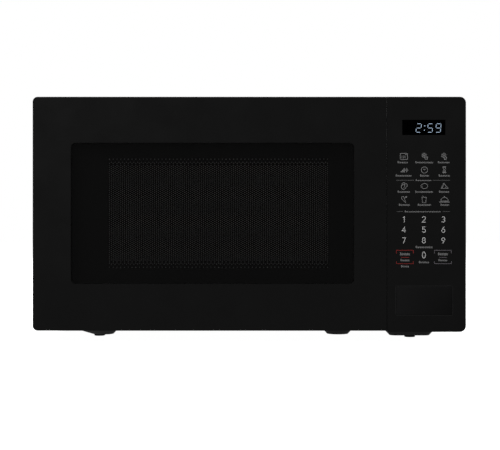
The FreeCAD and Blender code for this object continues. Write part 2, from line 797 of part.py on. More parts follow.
def cavity_wrapper():
    """One bent sheet: left wall, roof and right wall of the oven chamber."""
    part = body("cavity_wrapper")
    low = "cavity_floor - steel"
    outline = [
        ("cavity_left - steel", low),
        ("cavity_left", low),
        ("cavity_left", "cavity_roof"),
        ("cavity_right", "cavity_roof"),
        ("cavity_right", low),
        ("cavity_right + steel", low),
        ("cavity_right + steel", "cavity_roof + steel"),
        ("cavity_left - steel", "cavity_roof + steel"),
    ]
    extrude(part, "XZ", PLATE_BACK, CAVITY_BACK, lambda s: polygon(s, outline))
    feed = (("-20", "60"), ("125", "205"))
    pocket(part, "YZ", "cavity_right - 1", "cavity_right + steel", feed)
    right_wall = ("cavity_right - 1", "cavity_right + steel")
    left_wall = ("cavity_left - steel", "cavity_left + 1")
    for wall, first, count, level, rows in (
        (right_wall, -118, 6, 150, 7),
        (right_wall, 96, 6, 196, 5),
        (left_wall, 84, 8, 196, 5),
    ):
        places = [(first + 6 * i, level + 6 * j, "2") for i in range(count) for j in range(rows)]
        drill(part, "YZ", *wall, *places)


def cavity_floor():
    """Floor with the round pressed well that the turntable rollers run in."""
    part = body("cavity_floor", (AXIS_X, AXIS_Y, "0"))
    half_x = "((cavity_right - cavity_left) / 2)"
    half_y = "(cavity_depth / 2)"
    top, under = "cavity_floor", "(cavity_floor - steel)"
    pad(part, "XY", under, top, ((f"-{half_x}", half_x), (f"-{half_y}", half_y)))
    drill(part, "XY", under, top, ("0", "0", "well_rim"))
    well = [
        ("11", f"{WELL_FLOOR} - steel"),
        ("well_flat + 0.4", f"{WELL_FLOOR} - steel"),
        ("well_rim + 0.4", under),
        ("well_rim + 2", under),
        ("well_rim + 2", top),
        ("well_rim", top),
        ("well_flat", WELL_FLOOR),
        ("11", WELL_FLOOR),
    ]
    revolve(part, well)


def cavity_back():
    plate = box(
        ("cavity_left - steel", "cavity_right + steel"),
        (CAVITY_BACK, f"{CAVITY_BACK} + steel"),
        ("cavity_floor - steel", "cavity_roof + steel"),
    )
    node("cavity_back", plate)


def waveguide():
    """Steel channel on the right wall that leads from the magnetron to the cavity."""
    wall = "(cavity_right + steel)"
    shell = box((wall, f"{wall} + 20"), ("-28", "68"), ("117", "213"))
    hollow = box((wall, f"{wall} + 19.2"), ("-27.2", "67.2"), ("117.8", "212.2"))
    antenna_hole = cylinder((f"{wall} + 19", "20", "165"), "12", "2", "x")
    node("waveguide", cut(shell, [hollow, antenna_hole]))
    cover = body("waveguide_cover")
    sheet_x = ("cavity_right - 0.6", "cavity_right - seat_gap")
    pad(cover, "YZ", *sheet_x, (("-30", "70"), ("115", "215")))
    soften(cover, 8.0, lambda m, w: abs(w.x) > 0.99)


def cavity_lamp():
    """Lamp behind the perforated patch of the right wall, in its holder."""
    wall = "(cavity_right + steel)"
    holder_x = f"({wall} + 24)"
    holder = box((holder_x, f"{holder_x} + 12"), ("100", "122"), ("197", "219"))
    bracket = box((wall, f"{holder_x} + 12"), ("100", "122"), ("219", "220.2"))
    node("lamp_holder", fuse([holder, bracket]))
    cap = cylinder((f"{holder_x} - 7", "111", "208"), "6", "6.9", "x")
    bulb = cylinder((f"{holder_x} - 15", "111", "208"), "7", "8", "x")
    tip = cone((f"{holder_x} - 18.5", "111", "208"), "3.5", "7", "3.5", "x")
    node("cavity_lamp", fuse([cap, bulb, tip]))


# ---------------------------------------------------------------- turntable


def turntable_motor():
    """Flat synchronous gear motor hung under the well, and its output shaft."""
    top = f"({WELL_FLOOR} - steel)"
    can = cylinder((AXIS_X, AXIS_Y, f"{top} - 15"), "24", "15")
    ears_x = (f"{AXIS_X} - 34", f"{AXIS_X} + 34")
    ears = box(ears_x, (f"{AXIS_Y} - 6", f"{AXIS_Y} + 6"), (f"{top} - 1.2", top))
    bore = cylinder((AXIS_X, AXIS_Y, f"{top} - 9"), "3.05", "9")
    node("turntable_motor", cut(fuse([can, ears]), [bore]))
    shaft = cylinder((AXIS_X, AXIS_Y, f"{top} - 8.8"), "3", "18.8")
    flat_x = (f"{AXIS_X} - 4", f"{AXIS_X} + 4")
    flat = box(flat_x, (f"{AXIS_Y} + 2.2", f"{AXIS_Y} + 4"), (f"{top} + 3", f"{top} + 11"))
    node("motor_shaft", cut(shaft, [flat]))


def turntable_coupler():
    """Three-armed driver that sits on the motor shaft and turns the tray."""
    part = body("turntable_coupler", (AXIS_X, AXIS_Y, "0"))
    low, top = f"({WELL_FLOOR} + 1)", f"({TRAY_Z} - 0.5)"
    extrude(part, "XY", low, top, lambda s: circle(s, "0", "0", "8"))
    arm = pad(part, "XY", f"{top} - 5", top, (("5", "21"), ("-5", "5")))
    repeat_round(part, arm, 3)
    shaft_top = f"({WELL_FLOOR} - steel + 10)"
    hollow = sketch(part, "XY", low)
    circle(hollow, "0", "0", "3.05")
    bore = part.newObject("PartDesign::Pocket", serial("bore"))
    bore.Profile = hollow
    bind(bore, "Length", f"{shaft_top} - {low} + 0.3")
    bore.Reversed = True
    doc.recompute()


def glass_tray():
    """Round glass tray with a raised rim, a roller track and three lugs under its centre."""
    part = body("glass_tray", (AXIS_X, AXIS_Y, TRAY_Z))
    outline = [
        ("0", "0"),
        ("104", "0"),
        ("107", "0.6"),
        ("tray_radius - 3.5", "tray_rise - 2.6"),
        ("tray_radius", "tray_rise - 1"),
        ("tray_radius", "tray_rise + 2"),
        ("tray_radius - 2.5", "tray_rise + 3.2"),
        ("tray_radius - 5", "tray_rise + 2"),
        ("106", "tray_thick"),
        ("0", "tray_thick"),
    ]
    revolve(part, outline)
    lug = pad(part, "XY", "-4.6", "0.5", (("-20.5", "-14"), ("-4", "4")))
    repeat_round(part, lug, 3)


def roller_ring():
    """Ring with three stub axles. The wheels stand in the well and carry the tray."""
    part = body("roller_ring", (AXIS_X, AXIS_Y, ROLLER_Z))
    revolve(part, [("77", "-2.6"), ("84", "-2.6"), ("84", "2.6"), ("77", "2.6")])
    axle_draw = lambda s: circle(s, "0", "0", "2")
    axle = extrude(part, "YZ", "83", "roller_track + 4.4", axle_draw)
    repeat_round(part, axle, 3)
    head_draw = lambda s: circle(s, "0", "0", "2.9")
    head = extrude(part, "YZ", "roller_track + 4.2", "roller_track + 6", head_draw)
    repeat_round(part, head, 3)


def rollers():
    """Three wheels, each a crowned disc on its stub axle."""
    centre = Vector(value(AXIS_X), value(AXIS_Y), value(ROLLER_Z))
    for number, angle in enumerate((0, 120, 240), 1):
        part = body(f"roller_{number}")
        outline = [
            ("2.1", "roller_track - 4"),
            ("roller_radius - 0.8", "roller_track - 4"),
            ("roller_radius", "roller_track - 2.8"),
            ("roller_radius", "roller_track + 2.8"),
            ("roller_radius - 0.8", "roller_track + 4"),
            ("2.1", "roller_track + 4"),
        ]
        revolve(part, outline)
        part.Placement = Placement(centre, Rotation(Vector(0, 0, 1), angle) * Rotation(Vector(0, 1, 0), 90))


# ---------------------------------------------------------------- microwave power parts


def magnetron():
    """Magnetron on the waveguide: yoke, magnets, anode with antenna, cooling fins and filter box."""
    left = "(cavity_right + steel + 20.2)"
    middle = ("20", "165")
    yoke = box((left, f"{left} + 52"), ("-20", "60"), ("125", "205"))
    hollow = box((f"{left} + 1.6", f"{left} + 50.4"), ("-20", "60"), ("126.6", "203.4"))
    passage = cylinder((left, *middle), "15", "52", "x")
    rings = [tube((f"{left} + {step}", *middle), "27", "14.6", "10", "x") for step in (1.8, 40.2)]
    node("magnetron_yoke", group([cut(yoke, [hollow, passage])] + rings))
    anode = cylinder((f"{left} + 12", *middle), "18", "28", "x")
    stem = cylinder((f"{left} - 15", *middle), "7", "27", "x")
    rear = cylinder((f"{left} + 40", *middle), "9", "12", "x")
    node("magnetron_anode", fuse([anode, stem, rear]))
    fins = [
        cut(
            box((f"{left} + {place}", f"{left} + {place} + 0.6"), ("-18", "58"), ("127", "203")),
            [cylinder((f"{left} + {place}", *middle), "18", "0.6", "x")],
        )
        for place in (14, 18, 22, 26, 30, 34, 38)
    ]
    node("magnetron_fins", group(fins))
    filter_box = box((f"{left} + 52.1", f"{left} + 80"), ("-6", "46"), ("139", "191"))
    inner = box((f"{left} + 52.1", f"{left} + 79.2"), ("-5.2", "45.2"), ("139.8", "190.2"))
    node("magnetron_filter_box", cut(filter_box, [inner]))


def transformer():
    """High-voltage transformer: laminated core on the base plate and two windings round its middle leg."""
    core = box(("128", "212"), ("-50", "10"), (f"{BASE_TOP} + seat_gap", "86"))
    windows = [box(x, ("-50", "10"), ("28", "70")) for x in (("142", "156"), ("184", "198"))]
    node("transformer_core", cut(core, windows))
    windings = []
    for low, high in (("29", "47"), ("51", "69")):
        ring = box(("142.5", "197.5"), ("-66", "26"), (low, high))
        hole = box(("155.5", "184.5"), ("-51", "11"), (low, high))
        leg_gap = cut(ring, [hole])
        windings.append(leg_gap)
    node("transformer_windings", group(windings))


def oval(radius, low, high):
    """An upright oval prism round the capacitor's axis."""
    ends = [cylinder(("175", y, low), radius, f"({high}) - ({low})") for y in ("75", "95")]
    return fuse(ends + [box((f"175 - ({radius})", f"175 + {radius}"), ("75", "95"), (low, high))])


def capacitor():
    """Oval high-voltage capacitor, and the strap and diode that hold to the base beside it."""
    can = oval("15", f"{BASE_TOP} + 2", "98")
    lid = oval("13.4", "98", "100")
    tags = [box((x, f"{x} + 0.8"), (y, f"{y} + 6"), ("100", "109")) for x in (172, 177.2) for y in (72, 92)]
    node("capacitor", fuse([can, lid] + tags))
    band = cut(oval("16.1", "40", "54"), [oval("15.1", "40", "54")])
    leg = box(("190.6", "192.4"), ("77", "93"), (f"{BASE_TOP} + seat_gap", "54"))
    foot = box(("190.6", "206"), ("77", "93"), (f"{BASE_TOP} + seat_gap", f"{BASE_TOP} + 1.8"))
    diode = cylinder(("199", "94", f"{BASE_TOP} + 5.5"), "3.4", "16", "y")
    eye = box(("196", "202"), ("86", "97"), (f"{BASE_TOP} + 1.9", f"{BASE_TOP} + 3"))
    node("capacitor_strap", group([fuse([band, leg, foot]), fuse([diode, eye])]))


def filter_board():
    """Mains filter board with fuse, choke and capacitor, under the roof of the casing."""
    board = box(("132", "206"), ("66", "128"), ("224", "225.6"))
    legs = [
        box((x, f"{x} + 5"), (y, f"{y} + 5"), ("220.4", "224"))
        for x in ("134", "199")
        for y in ("68", "121")
    ]
    choke = tube(("150", "88", "225.7"), "11", "5", "10")
    fuse_tube = cylinder(("172", "114", "230"), "2.6", "24", "x")
    clips = [box((x, f"{x} + 3"), ("110", "118"), ("225.7", "233.2")) for x in ("174", "190")]
    holder = fuse([fuse_tube] + clips)
    film = box(("178", "198"), ("78", "90"), ("225.7", "239"))
    node("filter_board", group([fuse([board] + legs), choke, holder, film]))


# ---------------------------------------------------------------- cooling fan

FAN_AXIS = ("fan_x", "fan_z")


def fan_shroud():
    """Plate with a round mouth that parts the blade from the component space."""
    part = body("fan_shroud")
    square = (("fan_x - 49.6", "fan_x + 49.6"), ("fan_z - 50", "fan_z + 50"))
    pad(part, "XZ", "139", "141", square)
    drill(part, "XZ", "139", "141", ("fan_x", "fan_z", "fan_radius - 4"))
    collar = lambda s: [circle(s, "fan_x", "fan_z", f"fan_radius + {step}") for step in (4, 2)]
    extrude(part, "XZ", "141", "154.5", collar)
    arms = (("fan_x - 49.6", "fan_x + 49.6"), ("fan_z - 4", "fan_z + 4"))
    pad(part, "XZ", "137", "139", arms)
    drill(part, "XZ", "137", "139", ("fan_x", "fan_z", "3"))


def fan_motor():
    """Shaded-pole motor: laminated frame, coil and the bearing boss."""
    frame = box(("fan_x - 30", "fan_x + 26"), ("112", "130"), ("fan_z - 24", "fan_z + 24"))
    rotor_hole = cylinder(("fan_x", "112", "fan_z"), "12.4", "18", "y")
    window = box(("fan_x - 24", "fan_x - 17"), ("112", "130"), ("fan_z - 14", "fan_z + 14"))
    core = cut(frame, [rotor_hole, window])
    ring = box(("fan_x - 37", "fan_x - 17.3"), ("105", "136.9"), ("fan_z - 13", "fan_z + 13"))
    leg = box(("fan_x - 30.3", "fan_x - 23.7"), ("111.7", "130.3"), ("fan_z - 13", "fan_z + 13"))
    node("fan_motor", group([core, cut(ring, [leg])]))


def fan_rotor():
    """Rotor on its shaft, and the five-bladed impeller."""
    shaft = cylinder(("fan_x", "106", "fan_z"), "1.6", "48", "y")
    rotor = cylinder(("fan_x", "112", "fan_z"), "12", "18", "y")
    node("fan_shaft", fuse([shaft, rotor]))
    hub_at = ("fan_x", "142", "fan_z")
    hub = cut(cylinder(hub_at, "11", "14", "y"), [cylinder(hub_at, "1.6", "12", "y")])
    centre = Vector(value("fan_x"), 0, value("fan_z"))
    reach = value("fan_radius")
    blades = []
    for number in range(5):
        blade = doc.addObject("Part::Feature", serial("blade"))
        chords = []
        for radius, width, pitch in ((9.0, 14.0, 42.0), (reach * 0.6, 24.0, 32.0), (reach, 30.0, 24.0)):
            half = width / 2
            across = [Vector(-half, -0.8, radius), Vector(half, -0.8, radius)]
            across += [Vector(half, 0.8, radius), Vector(-half, 0.8, radius)]
            turn = Rotation(Vector(0, 0, 1), pitch)
            corners = [turn.multVec(Vector(p.x, p.y, 0)) + Vector(0, 0, p.z) for p in across]
            chords.append(Part.makePolygon(corners + corners[:1]))
        blade.Shape = Part.makeLoft(chords, True)
        spin = Rotation(Vector(0, 1, 0), 72 * number)
        blade.Placement = Placement(centre + Vector(0, 149, 0), spin)
        blades.append(blade)
    trimmed = doc.addObject("Part::MultiCommon", "blades_round")
    trimmed.Shapes = [fuse(blades), cylinder(("fan_x", "138", "fan_z"), "fan_radius", "22", "y")]
    node("fan_blade", fuse([hub, trimmed]))


# ---------------------------------------------------------------- casing


def dome(low, high, half, wall=0):
    """One pressed dome of the base, drawn out along X by half on either side.

    low and high are the x, y and radius of its flat bottom and of its mouth in the base sheet.
    """
    level, height = f"dome_level + {wall}", "base_level - dome_level"
    ends = [
        loft_between(
            (f"{low[0]} + {step}", low[1], level, f"{low[2]} - {wall} / 2"),
            (f"{high[0]} + {step}", high[1], f"{level} + {height}", f"{high[2]} - {wall} / 2"),
        )
        for step in {-half, half}
    ]
    if not half:
        return ends[0]
    bridge = doc.addObject("Part::Wedge", serial("wedge"))
    bridge.Placement = Placement(Vector(), Rotation(Vector(1, 0, 0), 90))
    for letter, place in zip("xyz", (low[0], low[1], level)):
        bind(bridge, f"Placement.Base.{letter}", place)
    near, far = f"({low[2]} - {wall} / 2)", f"({high[2]} - {wall} / 2)"
    sides = {"Xmin": f"-{half}", "X2min": f"-{half}", "Xmax": half, "X2max": half, "Ymin": 0, "Ymax": height}
    sides |= {"Zmin": f"-{near}", "Zmax": near, "Z2min": f"-{far}", "Z2max": far}
    for side, size in sides.items():
        bind(bridge, side, size)
    return fuse(ends + [bridge])


def foot_dome(x, y, kind):
    """Mouth and flat of the dome over one foot: leaning on the left, drawn out along X on the right."""
    if kind == "leaning":
        return ((x + 4.0, y, 11.4), (x - 6.25, y, 30.25), 0)
    return ((x - 0.5, y, 7), (x - 0.5, y, 15.75), 14.75)


DOMES = (
    foot_dome(*FEET["front_left"], "leaning"),
    foot_dome(*FEET["front_right"], "long"),
    foot_dome(*FEET["rear_left"], "leaning"),
    foot_dome(*FEET["rear_right"], "long"),
    ((97.9, -95.0, 11.7), (97.9, -95.0, 20.1), 0),
)


def base_plate():
    """Base pressing: flat sheet with four foot domes, a fifth stiffening dome and vent slots."""
    flat_y = (PLATE_BACK, f"{REAR_PLATE} - seat_gap")
    flat = box((f"-{INNER_SIDE}", INNER_SIDE), flat_y, ("base_level", BASE_TOP))
    shell = fuse([flat] + [dome(*place) for place in DOMES])
    hollows = [dome(*place, wall=value("steel")) for place in DOMES]
    holes = [cylinder((*at, "dome_level - 1"), "2.6", "3") for at in FEET.values()]
    vents = [box((x, f"{x} + 4"), ("26", "52"), ("base_level", BASE_TOP)) for x in range(122, 158, 9)]
    vents += [box((x, f"{x} + 4"), ("60", "86"), ("base_level", BASE_TOP)) for x in range(-130, -60, 9)]
    node("base_plate", cut(shell, hollows + holes + vents))


def rubber_feet():
    """Four push-in feet: pad, neck through the dome and a barb above it."""
    feet = []
    for x, y in FEET.values():
        pad_disc = cylinder((x, y, "0.3"), "foot_radius", "dome_level - 0.3")
        rim = cone((x, y, "0"), "foot_radius - 0.3", "foot_radius", "0.3")
        neck = cylinder((x, y, "dome_level"), "2.5", "steel")
        barb = cone((x, y, "dome_level + steel"), "4", "2", "3")
        feet.append(fuse([pad_disc, rim, neck, barb]))
    node("rubber_feet", group(feet))


def outer_casing():
    """Bent steel cover: two sides and the top, with a rear flange, foot flanges and side vents."""
    part = body("bare_casing", named=False)
    low = "(base_level - steel)"
    top = "case_top"
    outline = [
        (f"-{CASE_SIDE}", low),
        (f"-{CASE_SIDE} + 12", low),
        (f"-{CASE_SIDE} + 12", "base_level"),
        (f"-{CASE_SIDE} + steel", "base_level"),
        (f"-{CASE_SIDE} + steel", f"{top} - steel"),
        (f"{CASE_SIDE} - steel", f"{top} - steel"),
        (f"{CASE_SIDE} - steel", "base_level"),
        (f"{CASE_SIDE} - 12", "base_level"),
        (f"{CASE_SIDE} - 12", low),
        (CASE_SIDE, low),
        (CASE_SIDE, top),
        (f"-{CASE_SIDE}", top),
    ]
    extrude(part, "XZ", PLATE_FRONT, "case_back - steel", lambda s: polygon(s, outline))
    inner_side, inner_top = f"{CASE_SIDE} - steel", f"{top} - steel"
    soften(part, 2.2, any_of(corner(f"-({inner_side})", inner_top), corner(inner_side, inner_top)))
    soften(part, 3.0, any_of(corner(f"-{CASE_SIDE}", top), corner(CASE_SIDE, top)))
    flange_y = ("case_back - steel", "case_back")

    def rear_flange(drawing):
        polygon(
            drawing,
            [
                (f"-{CASE_SIDE}", low),
                (f"-{CASE_SIDE} + 13", low),
                (f"-{CASE_SIDE} + 13", f"{top} - 13"),
                (f"{CASE_SIDE} - 13", f"{top} - 13"),
                (f"{CASE_SIDE} - 13", low),
                (CASE_SIDE, low),
                (CASE_SIDE, f"{top} - 3"),
                (f"{CASE_SIDE} - 3", top),
                (f"-{CASE_SIDE} + 3", top),
                (f"-{CASE_SIDE}", f"{top} - 3"),
            ],
        )

    extrude(part, "XZ", *flange_y, rear_flange)
    vents = [
        box(side, (y, y + 3), (level, level + 24))
        for side, first, last, levels in (
            ((f"{CASE_SIDE} - 2", CASE_SIDE), 52, 148, (60, 92, 124)),
            ((f"-{CASE_SIDE}", f"-{CASE_SIDE} + 2"), 76, 148, (150, 182)),
        )
        for y in range(first, last, 8)
        for level in levels
    ]
    vents += [cylinder((x, flange_y[0], z), "2.05", "steel", "y") for x, z in CASE_SCREWS]
    node("outer_casing", cut(part, [group(vents)]))


def screws():
    """Hinge screws, and the pan-head screws through the rear flange of the casing."""
    screws = hinge_screws()
    for x, z in CASE_SCREWS:
        shank = cylinder((x, "case_back - 10", z), "2", "10", "y")
        head = cylinder((x, "case_back", z), "3.8", "1.4", "y")
        crown = cone((x, "case_back + 1.4", z), "3.8", "2.6", "0.9", "y")
        drive_y = ("case_back + 1.3", "case_back + 2.4")
        drive = [
            box((f"{x} - {wide}", f"{x} + {wide}"), drive_y, (f"{z} - {high}", f"{z} + {high}"))
            for wide, high in ((2, 0.4), (0.4, 2))
        ]
        screws.append(cut(fuse([shank, head, crown]), drive))
    node("screws", group(screws))


def slots(x, z, y, columns, rows, step):
    """A block of upright slots through a plate: x and z are the first slot, step the spacing each way."""
    return [
        box(
            (f"{x[0]} + {step[0] * column}", f"{x[1]} + {step[0] * column}"),
            y,
            (f"{z[0]} + {step[1] * row}", f"{z[1]} + {step[1] * row}"),
        )
        for column in range(columns)
        for row in range(rows)
    ]


def rear_panel():
    """Rear sheet with the fan grille, exhaust slots, three pressed wall spacers and the cord hole."""
    y = (REAR_PLATE, f"{REAR_PLATE} + steel")
    sheet_z = (f"{BASE_TOP} + seat_gap", "case_top - steel - 0.3")
    plate = box((f"-{INNER_SIDE}", INNER_SIDE), y, sheet_z)
    openings = slots(("fan_x - 37.5", "fan_x - 34.5"), ("fan_z - 37", "fan_z - 15"), y, 13, 3, (6, 26))
    openings += slots(("-180", "-177"), ("170", "194"), y, 10, 2, (7, 30))
    openings.append(cylinder(("190", REAR_PLATE, "46"), "7.1", "steel", "y"))
    openings += [cylinder((x, REAR_PLATE, z), "2.05", "steel", "y") for x, z in CASE_SCREWS]
    reach = f"(overall_depth / 2 - {REAR_PLATE})"
    cups = []
    for x, z in ((-120, 60), (60, 60), (-30, 215)):
        openings.append(cylinder((x, REAR_PLATE, z), "11.2", "steel", "y"))
        outer = cone((x, REAR_PLATE, z), "12", "8", reach, "y")
        inner = cone((x, f"{REAR_PLATE} - steel", z), "11.2", "7.2", reach, "y")
        cups.append(cut(outer, [inner]))
    node("rear_panel", fuse([cut(plate, [group(openings)])] + cups))


def cord_gland():
    """Plastic bush in the rear panel that the mains lead passes through."""
    at = ("190", REAR_PLATE, "46")
    neck = cylinder((at[0], f"{at[1]} - 8", at[2]), "7", "8.8", "y")
    flange = cylinder((at[0], f"{at[1]} + steel", at[2]), "10", "2.6", "y")
    nut = cylinder((at[0], f"{at[1]} - 5", at[2]), "10", "4.9", "y")
    bore = cylinder((at[0], f"{at[1]} - 9", at[2]), "3.8", "14", "y")
    node("cord_gland", cut(fuse([neck, flange, nut]), [bore]))


# ---------------------------------------------------------------- build and write

PIECES = (
    door_frame,
    door_window,
    door_screen,
    door_choke_cover,
    door_film,
    hinge_bushes,
    latch_hook,
    latch_spring,
    hinges,
    panel_housing,
    panel_overlay,
    display,
    control_board,
    release_button,
    button_springs,
    release_lever,
    interlock_bracket,
    interlock_switches,
    front_plate,
    cavity_wrapper,
    cavity_floor,
    cavity_back,
    waveguide,
    cavity_lamp,
    turntable_motor,
    turntable_coupler,
    glass_tray,
    roller_ring,
    rollers,
    magnetron,
    transformer,
    capacitor,
    filter_board,
    fan_shroud,
    fan_motor,
    fan_rotor,
    base_plate,
    rubber_feet,
    outer_casing,
    screws,
    rear_panel,
    cord_gland,
)
for piece in PIECES:
    piece()
doc.recompute()

for thing in doc.Objects:
    if {"Invalid", "Error"} & set(thing.State):
        raise RuntimeError(f"{thing.Label} failed: {thing.State}")
os.makedirs("parts", exist_ok=True)
for label, thing in nodes.items():
    shape = thing.Shape
    if shape.isNull() or not shape.isValid() or not shape.Solids:
        raise RuntimeError(f"{label} has no valid solid")
    shape.exportStep(f"parts/{label}.step")
print(len(nodes), "nodes written")
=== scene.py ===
"""Looks of the countertop microwave oven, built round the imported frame.

Metres in the row frame: +X to the right of someone facing the oven, +Y to its back, +Z up. Sizes written in
millimetres are multiplied by MM where they become geometry.
"""

import json
import math

import bmesh
import bpy
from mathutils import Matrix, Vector


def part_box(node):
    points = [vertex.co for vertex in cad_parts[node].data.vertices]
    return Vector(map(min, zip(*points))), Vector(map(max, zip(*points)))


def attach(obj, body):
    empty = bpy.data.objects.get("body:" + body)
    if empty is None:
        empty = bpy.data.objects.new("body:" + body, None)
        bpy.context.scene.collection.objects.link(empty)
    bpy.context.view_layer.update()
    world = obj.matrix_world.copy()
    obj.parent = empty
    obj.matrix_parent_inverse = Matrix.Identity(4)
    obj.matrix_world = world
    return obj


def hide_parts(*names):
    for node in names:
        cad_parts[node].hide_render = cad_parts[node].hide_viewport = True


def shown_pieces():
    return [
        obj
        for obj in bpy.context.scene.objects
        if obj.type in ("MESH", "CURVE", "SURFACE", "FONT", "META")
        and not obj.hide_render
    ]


MM = 0.001
# perforation of the door screen: first hole, half pitches and counts
FIELD_LEFT, FIELD_TOP = -147.4 * MM, 191.9 * MM
HALF_COLUMN, HALF_ROW = 1.9815 * MM, 1.0953 * MM
COLUMNS, ROWS = 116, 104
HOLE_RADIUS, HOLE_SIDES = 0.58 * MM, 12

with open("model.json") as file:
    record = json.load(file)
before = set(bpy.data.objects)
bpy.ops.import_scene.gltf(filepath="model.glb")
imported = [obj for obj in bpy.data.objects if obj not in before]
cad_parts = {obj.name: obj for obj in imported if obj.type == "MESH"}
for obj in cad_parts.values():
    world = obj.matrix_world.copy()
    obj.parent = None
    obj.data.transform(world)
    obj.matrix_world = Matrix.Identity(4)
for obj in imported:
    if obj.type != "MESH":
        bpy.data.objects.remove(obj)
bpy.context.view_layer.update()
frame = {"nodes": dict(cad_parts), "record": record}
nodes = frame["nodes"]

# ---------------------------------------------------------------- materials


class Graph:
    """A node material with one Principled shader, whose plain numbers sit on the shader's own sockets."""

    def __init__(self, name, colour, rough, metallic=0.0, **sockets):
        self.material = bpy.data.materials.new(name)
        self.material.use_nodes = True
        self.tree = self.material.node_tree
        self.shader = self.tree.nodes["Principled BSDF"]
        self.colour = colour
        self.shader.inputs["Base Color"].default_value = (*colour, 1.0)
        self.shader.inputs["Roughness"].default_value = rough
        self.shader.inputs["Metallic"].default_value = metallic
        for label, number in sockets.items():
            self.shader.inputs[label.replace("_", " ")].default_value = number
        self.place = self.add("ShaderNodeTexCoord").outputs["Object"]

    def add(self, kind, **settings):
        made = self.tree.nodes.new(kind)
        for key, setting in settings.items():
            setattr(made, key, setting)
        return made

    def link(self, source, target):
        self.tree.links.new(source, target)

    def stretched(self, scale):
        mapping = self.add("ShaderNodeMapping")
        mapping.inputs["Scale"].default_value = scale
        self.link(self.place, mapping.inputs["Vector"])
        return mapping.outputs["Vector"]

    def noise(self, scale, detail=3.0, stretch=None):
        made = self.add("ShaderNodeTexNoise")
        made.inputs["Scale"].default_value = scale
        made.inputs["Detail"].default_value = detail
        self.link(self.stretched(stretch) if stretch else self.place, made.inputs["Vector"])
        return made.outputs["Fac"]

    def cells(self, scale, output="Color", feature="F1"):
        made = self.add("ShaderNodeTexVoronoi", feature=feature)
        made.inputs["Scale"].default_value = scale
        self.link(self.place, made.inputs["Vector"])
        return made.outputs[output]

    def bands(self, scale, direction, distortion=0.0):
        made = self.add("ShaderNodeTexWave", bands_direction=direction)
        made.inputs["Scale"].default_value = scale
        made.inputs["Distortion"].default_value = distortion
        self.link(self.place, made.inputs["Vector"])
        return made.outputs["Fac"]

    def remap(self, source, low, high, start=0.3, end=0.7):
        made = self.add("ShaderNodeMapRange")
        for label, number in (("From Min", start), ("From Max", end), ("To Min", low), ("To Max", high)):
            made.inputs[label].default_value = number
        self.link(source, made.inputs["Value"])
        return made.outputs["Result"]

    def math(self, operation, *parts):
        """One sum on numbers or output sockets."""
        made = self.add("ShaderNodeMath", operation=operation)
        for socket, part in zip(made.inputs, parts):
            if isinstance(part, float):
                socket.default_value = part
            else:
                self.link(part, socket)
        return made.outputs["Value"]

    def position(self):
        """The three coordinates of a point on the piece."""
        apart = self.add("ShaderNodeSeparateXYZ")
        self.link(self.place, apart.inputs["Vector"])
        return apart.outputs

    def mix(self, factor, first, second):
        """A colour between first and second, each a colour or an output socket."""
        made = self.add("ShaderNodeMix", data_type="RGBA")
        self.link(factor, made.inputs["Factor"])
        for label, part in (("A", first), ("B", second)):
            socket = next(s for s in made.inputs if s.name == label and s.type == "RGBA")
            if isinstance(part, tuple):
                socket.default_value = (*part, 1.0)
            else:
                self.link(part, socket)
        return next(s for s in made.outputs if s.type == "RGBA")

    def paint(self, source):
        self.link(source, self.shader.inputs["Base Color"])
        self.painted = source
        return self

    def mottle(self, spread, scale=14.0):
        """Slow changes of tone over the piece."""
        dark = tuple(c * (1 - spread) for c in self.colour)
        light = tuple(min(1.0, c * (1 + spread)) for c in self.colour)
        return self.paint(self.mix(self.remap(self.noise(scale), 0.0, 1.0), dark, light))

    def vary_rough(self, low, high, scale=60.0, stretch=None):
        smudge = self.noise(scale, 5.0, stretch)
        self.link(self.remap(smudge, low, high), self.shader.inputs["Roughness"])
        return self

    def bump(self, source, strength, depth_mm):
        made = self.add("ShaderNodeBump")
        made.inputs["Strength"].default_value = strength
        made.inputs["Distance"].default_value = depth_mm * MM
        self.link(source, made.inputs["Height"])
        if self.shader.inputs["Normal"].links:
            self.link(self.shader.inputs["Normal"].links[0].from_socket, made.inputs["Normal"])
        self.link(made.outputs["Normal"], self.shader.inputs["Normal"])
        return self

    def edge_wear_and_painted_highlight(self, colour, amount, width_mm=0.5):
        """Edges lighter: partly rubbed wear, partly a painted highlight where edges catch the light; more in
        some places than in others.
        """
        rounded = self.add("ShaderNodeBevel", samples=4)
        rounded.inputs["Radius"].default_value = width_mm * MM
        straight = self.add("ShaderNodeNewGeometry")
        across = self.add("ShaderNodeVectorMath", operation="DOT_PRODUCT")
        self.link(rounded.outputs["Normal"], across.inputs[0])
        self.link(straight.outputs["Normal"], across.inputs[1])
        edge = self.remap(across.outputs["Value"], amount, 0.0, 0.86, 0.995)
        patchy = self.math("MULTIPLY", edge, self.remap(self.noise(55.0), 0.25, 1.0))
        return self.paint(self.mix(patchy, self.painted, colour))


def gloss_black(name, colour, rough):
    made = Graph(name, colour, rough, Specular_IOR_Level=0.42)
    made.mottle(0.06, 9.0).vary_rough(rough - 0.035, rough + 0.045, 38.0)
    made.bump(made.noise(2600.0, 2.0), 0.10, 0.012)
    # lighter edges: partly rubbed wear, partly a painted highlight
    return made.edge_wear_and_painted_highlight(tuple(c * 2.4 for c in colour), 0.55, 0.45)


def painted_gap_light(made, tone):
    """Painted light: the first millimetres of the panel's wall beside the door are painted paler than its
    front, to lift the shade in the narrow gap between door and panel.
    """
    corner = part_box("panel_housing")[0]
    place = made.position()
    beside = made.remap(place["X"], 1.0, 0.0, corner.x + 0.05 * MM, corner.x + 0.15 * MM)
    shallow = made.remap(place["Y"], 1.0, 0.0, corner.y + 2.5 * MM, corner.y + 3.5 * MM)
    return made.paint(made.mix(made.math("MULTIPLY", beside, shallow), made.painted, (tone, tone, tone)))


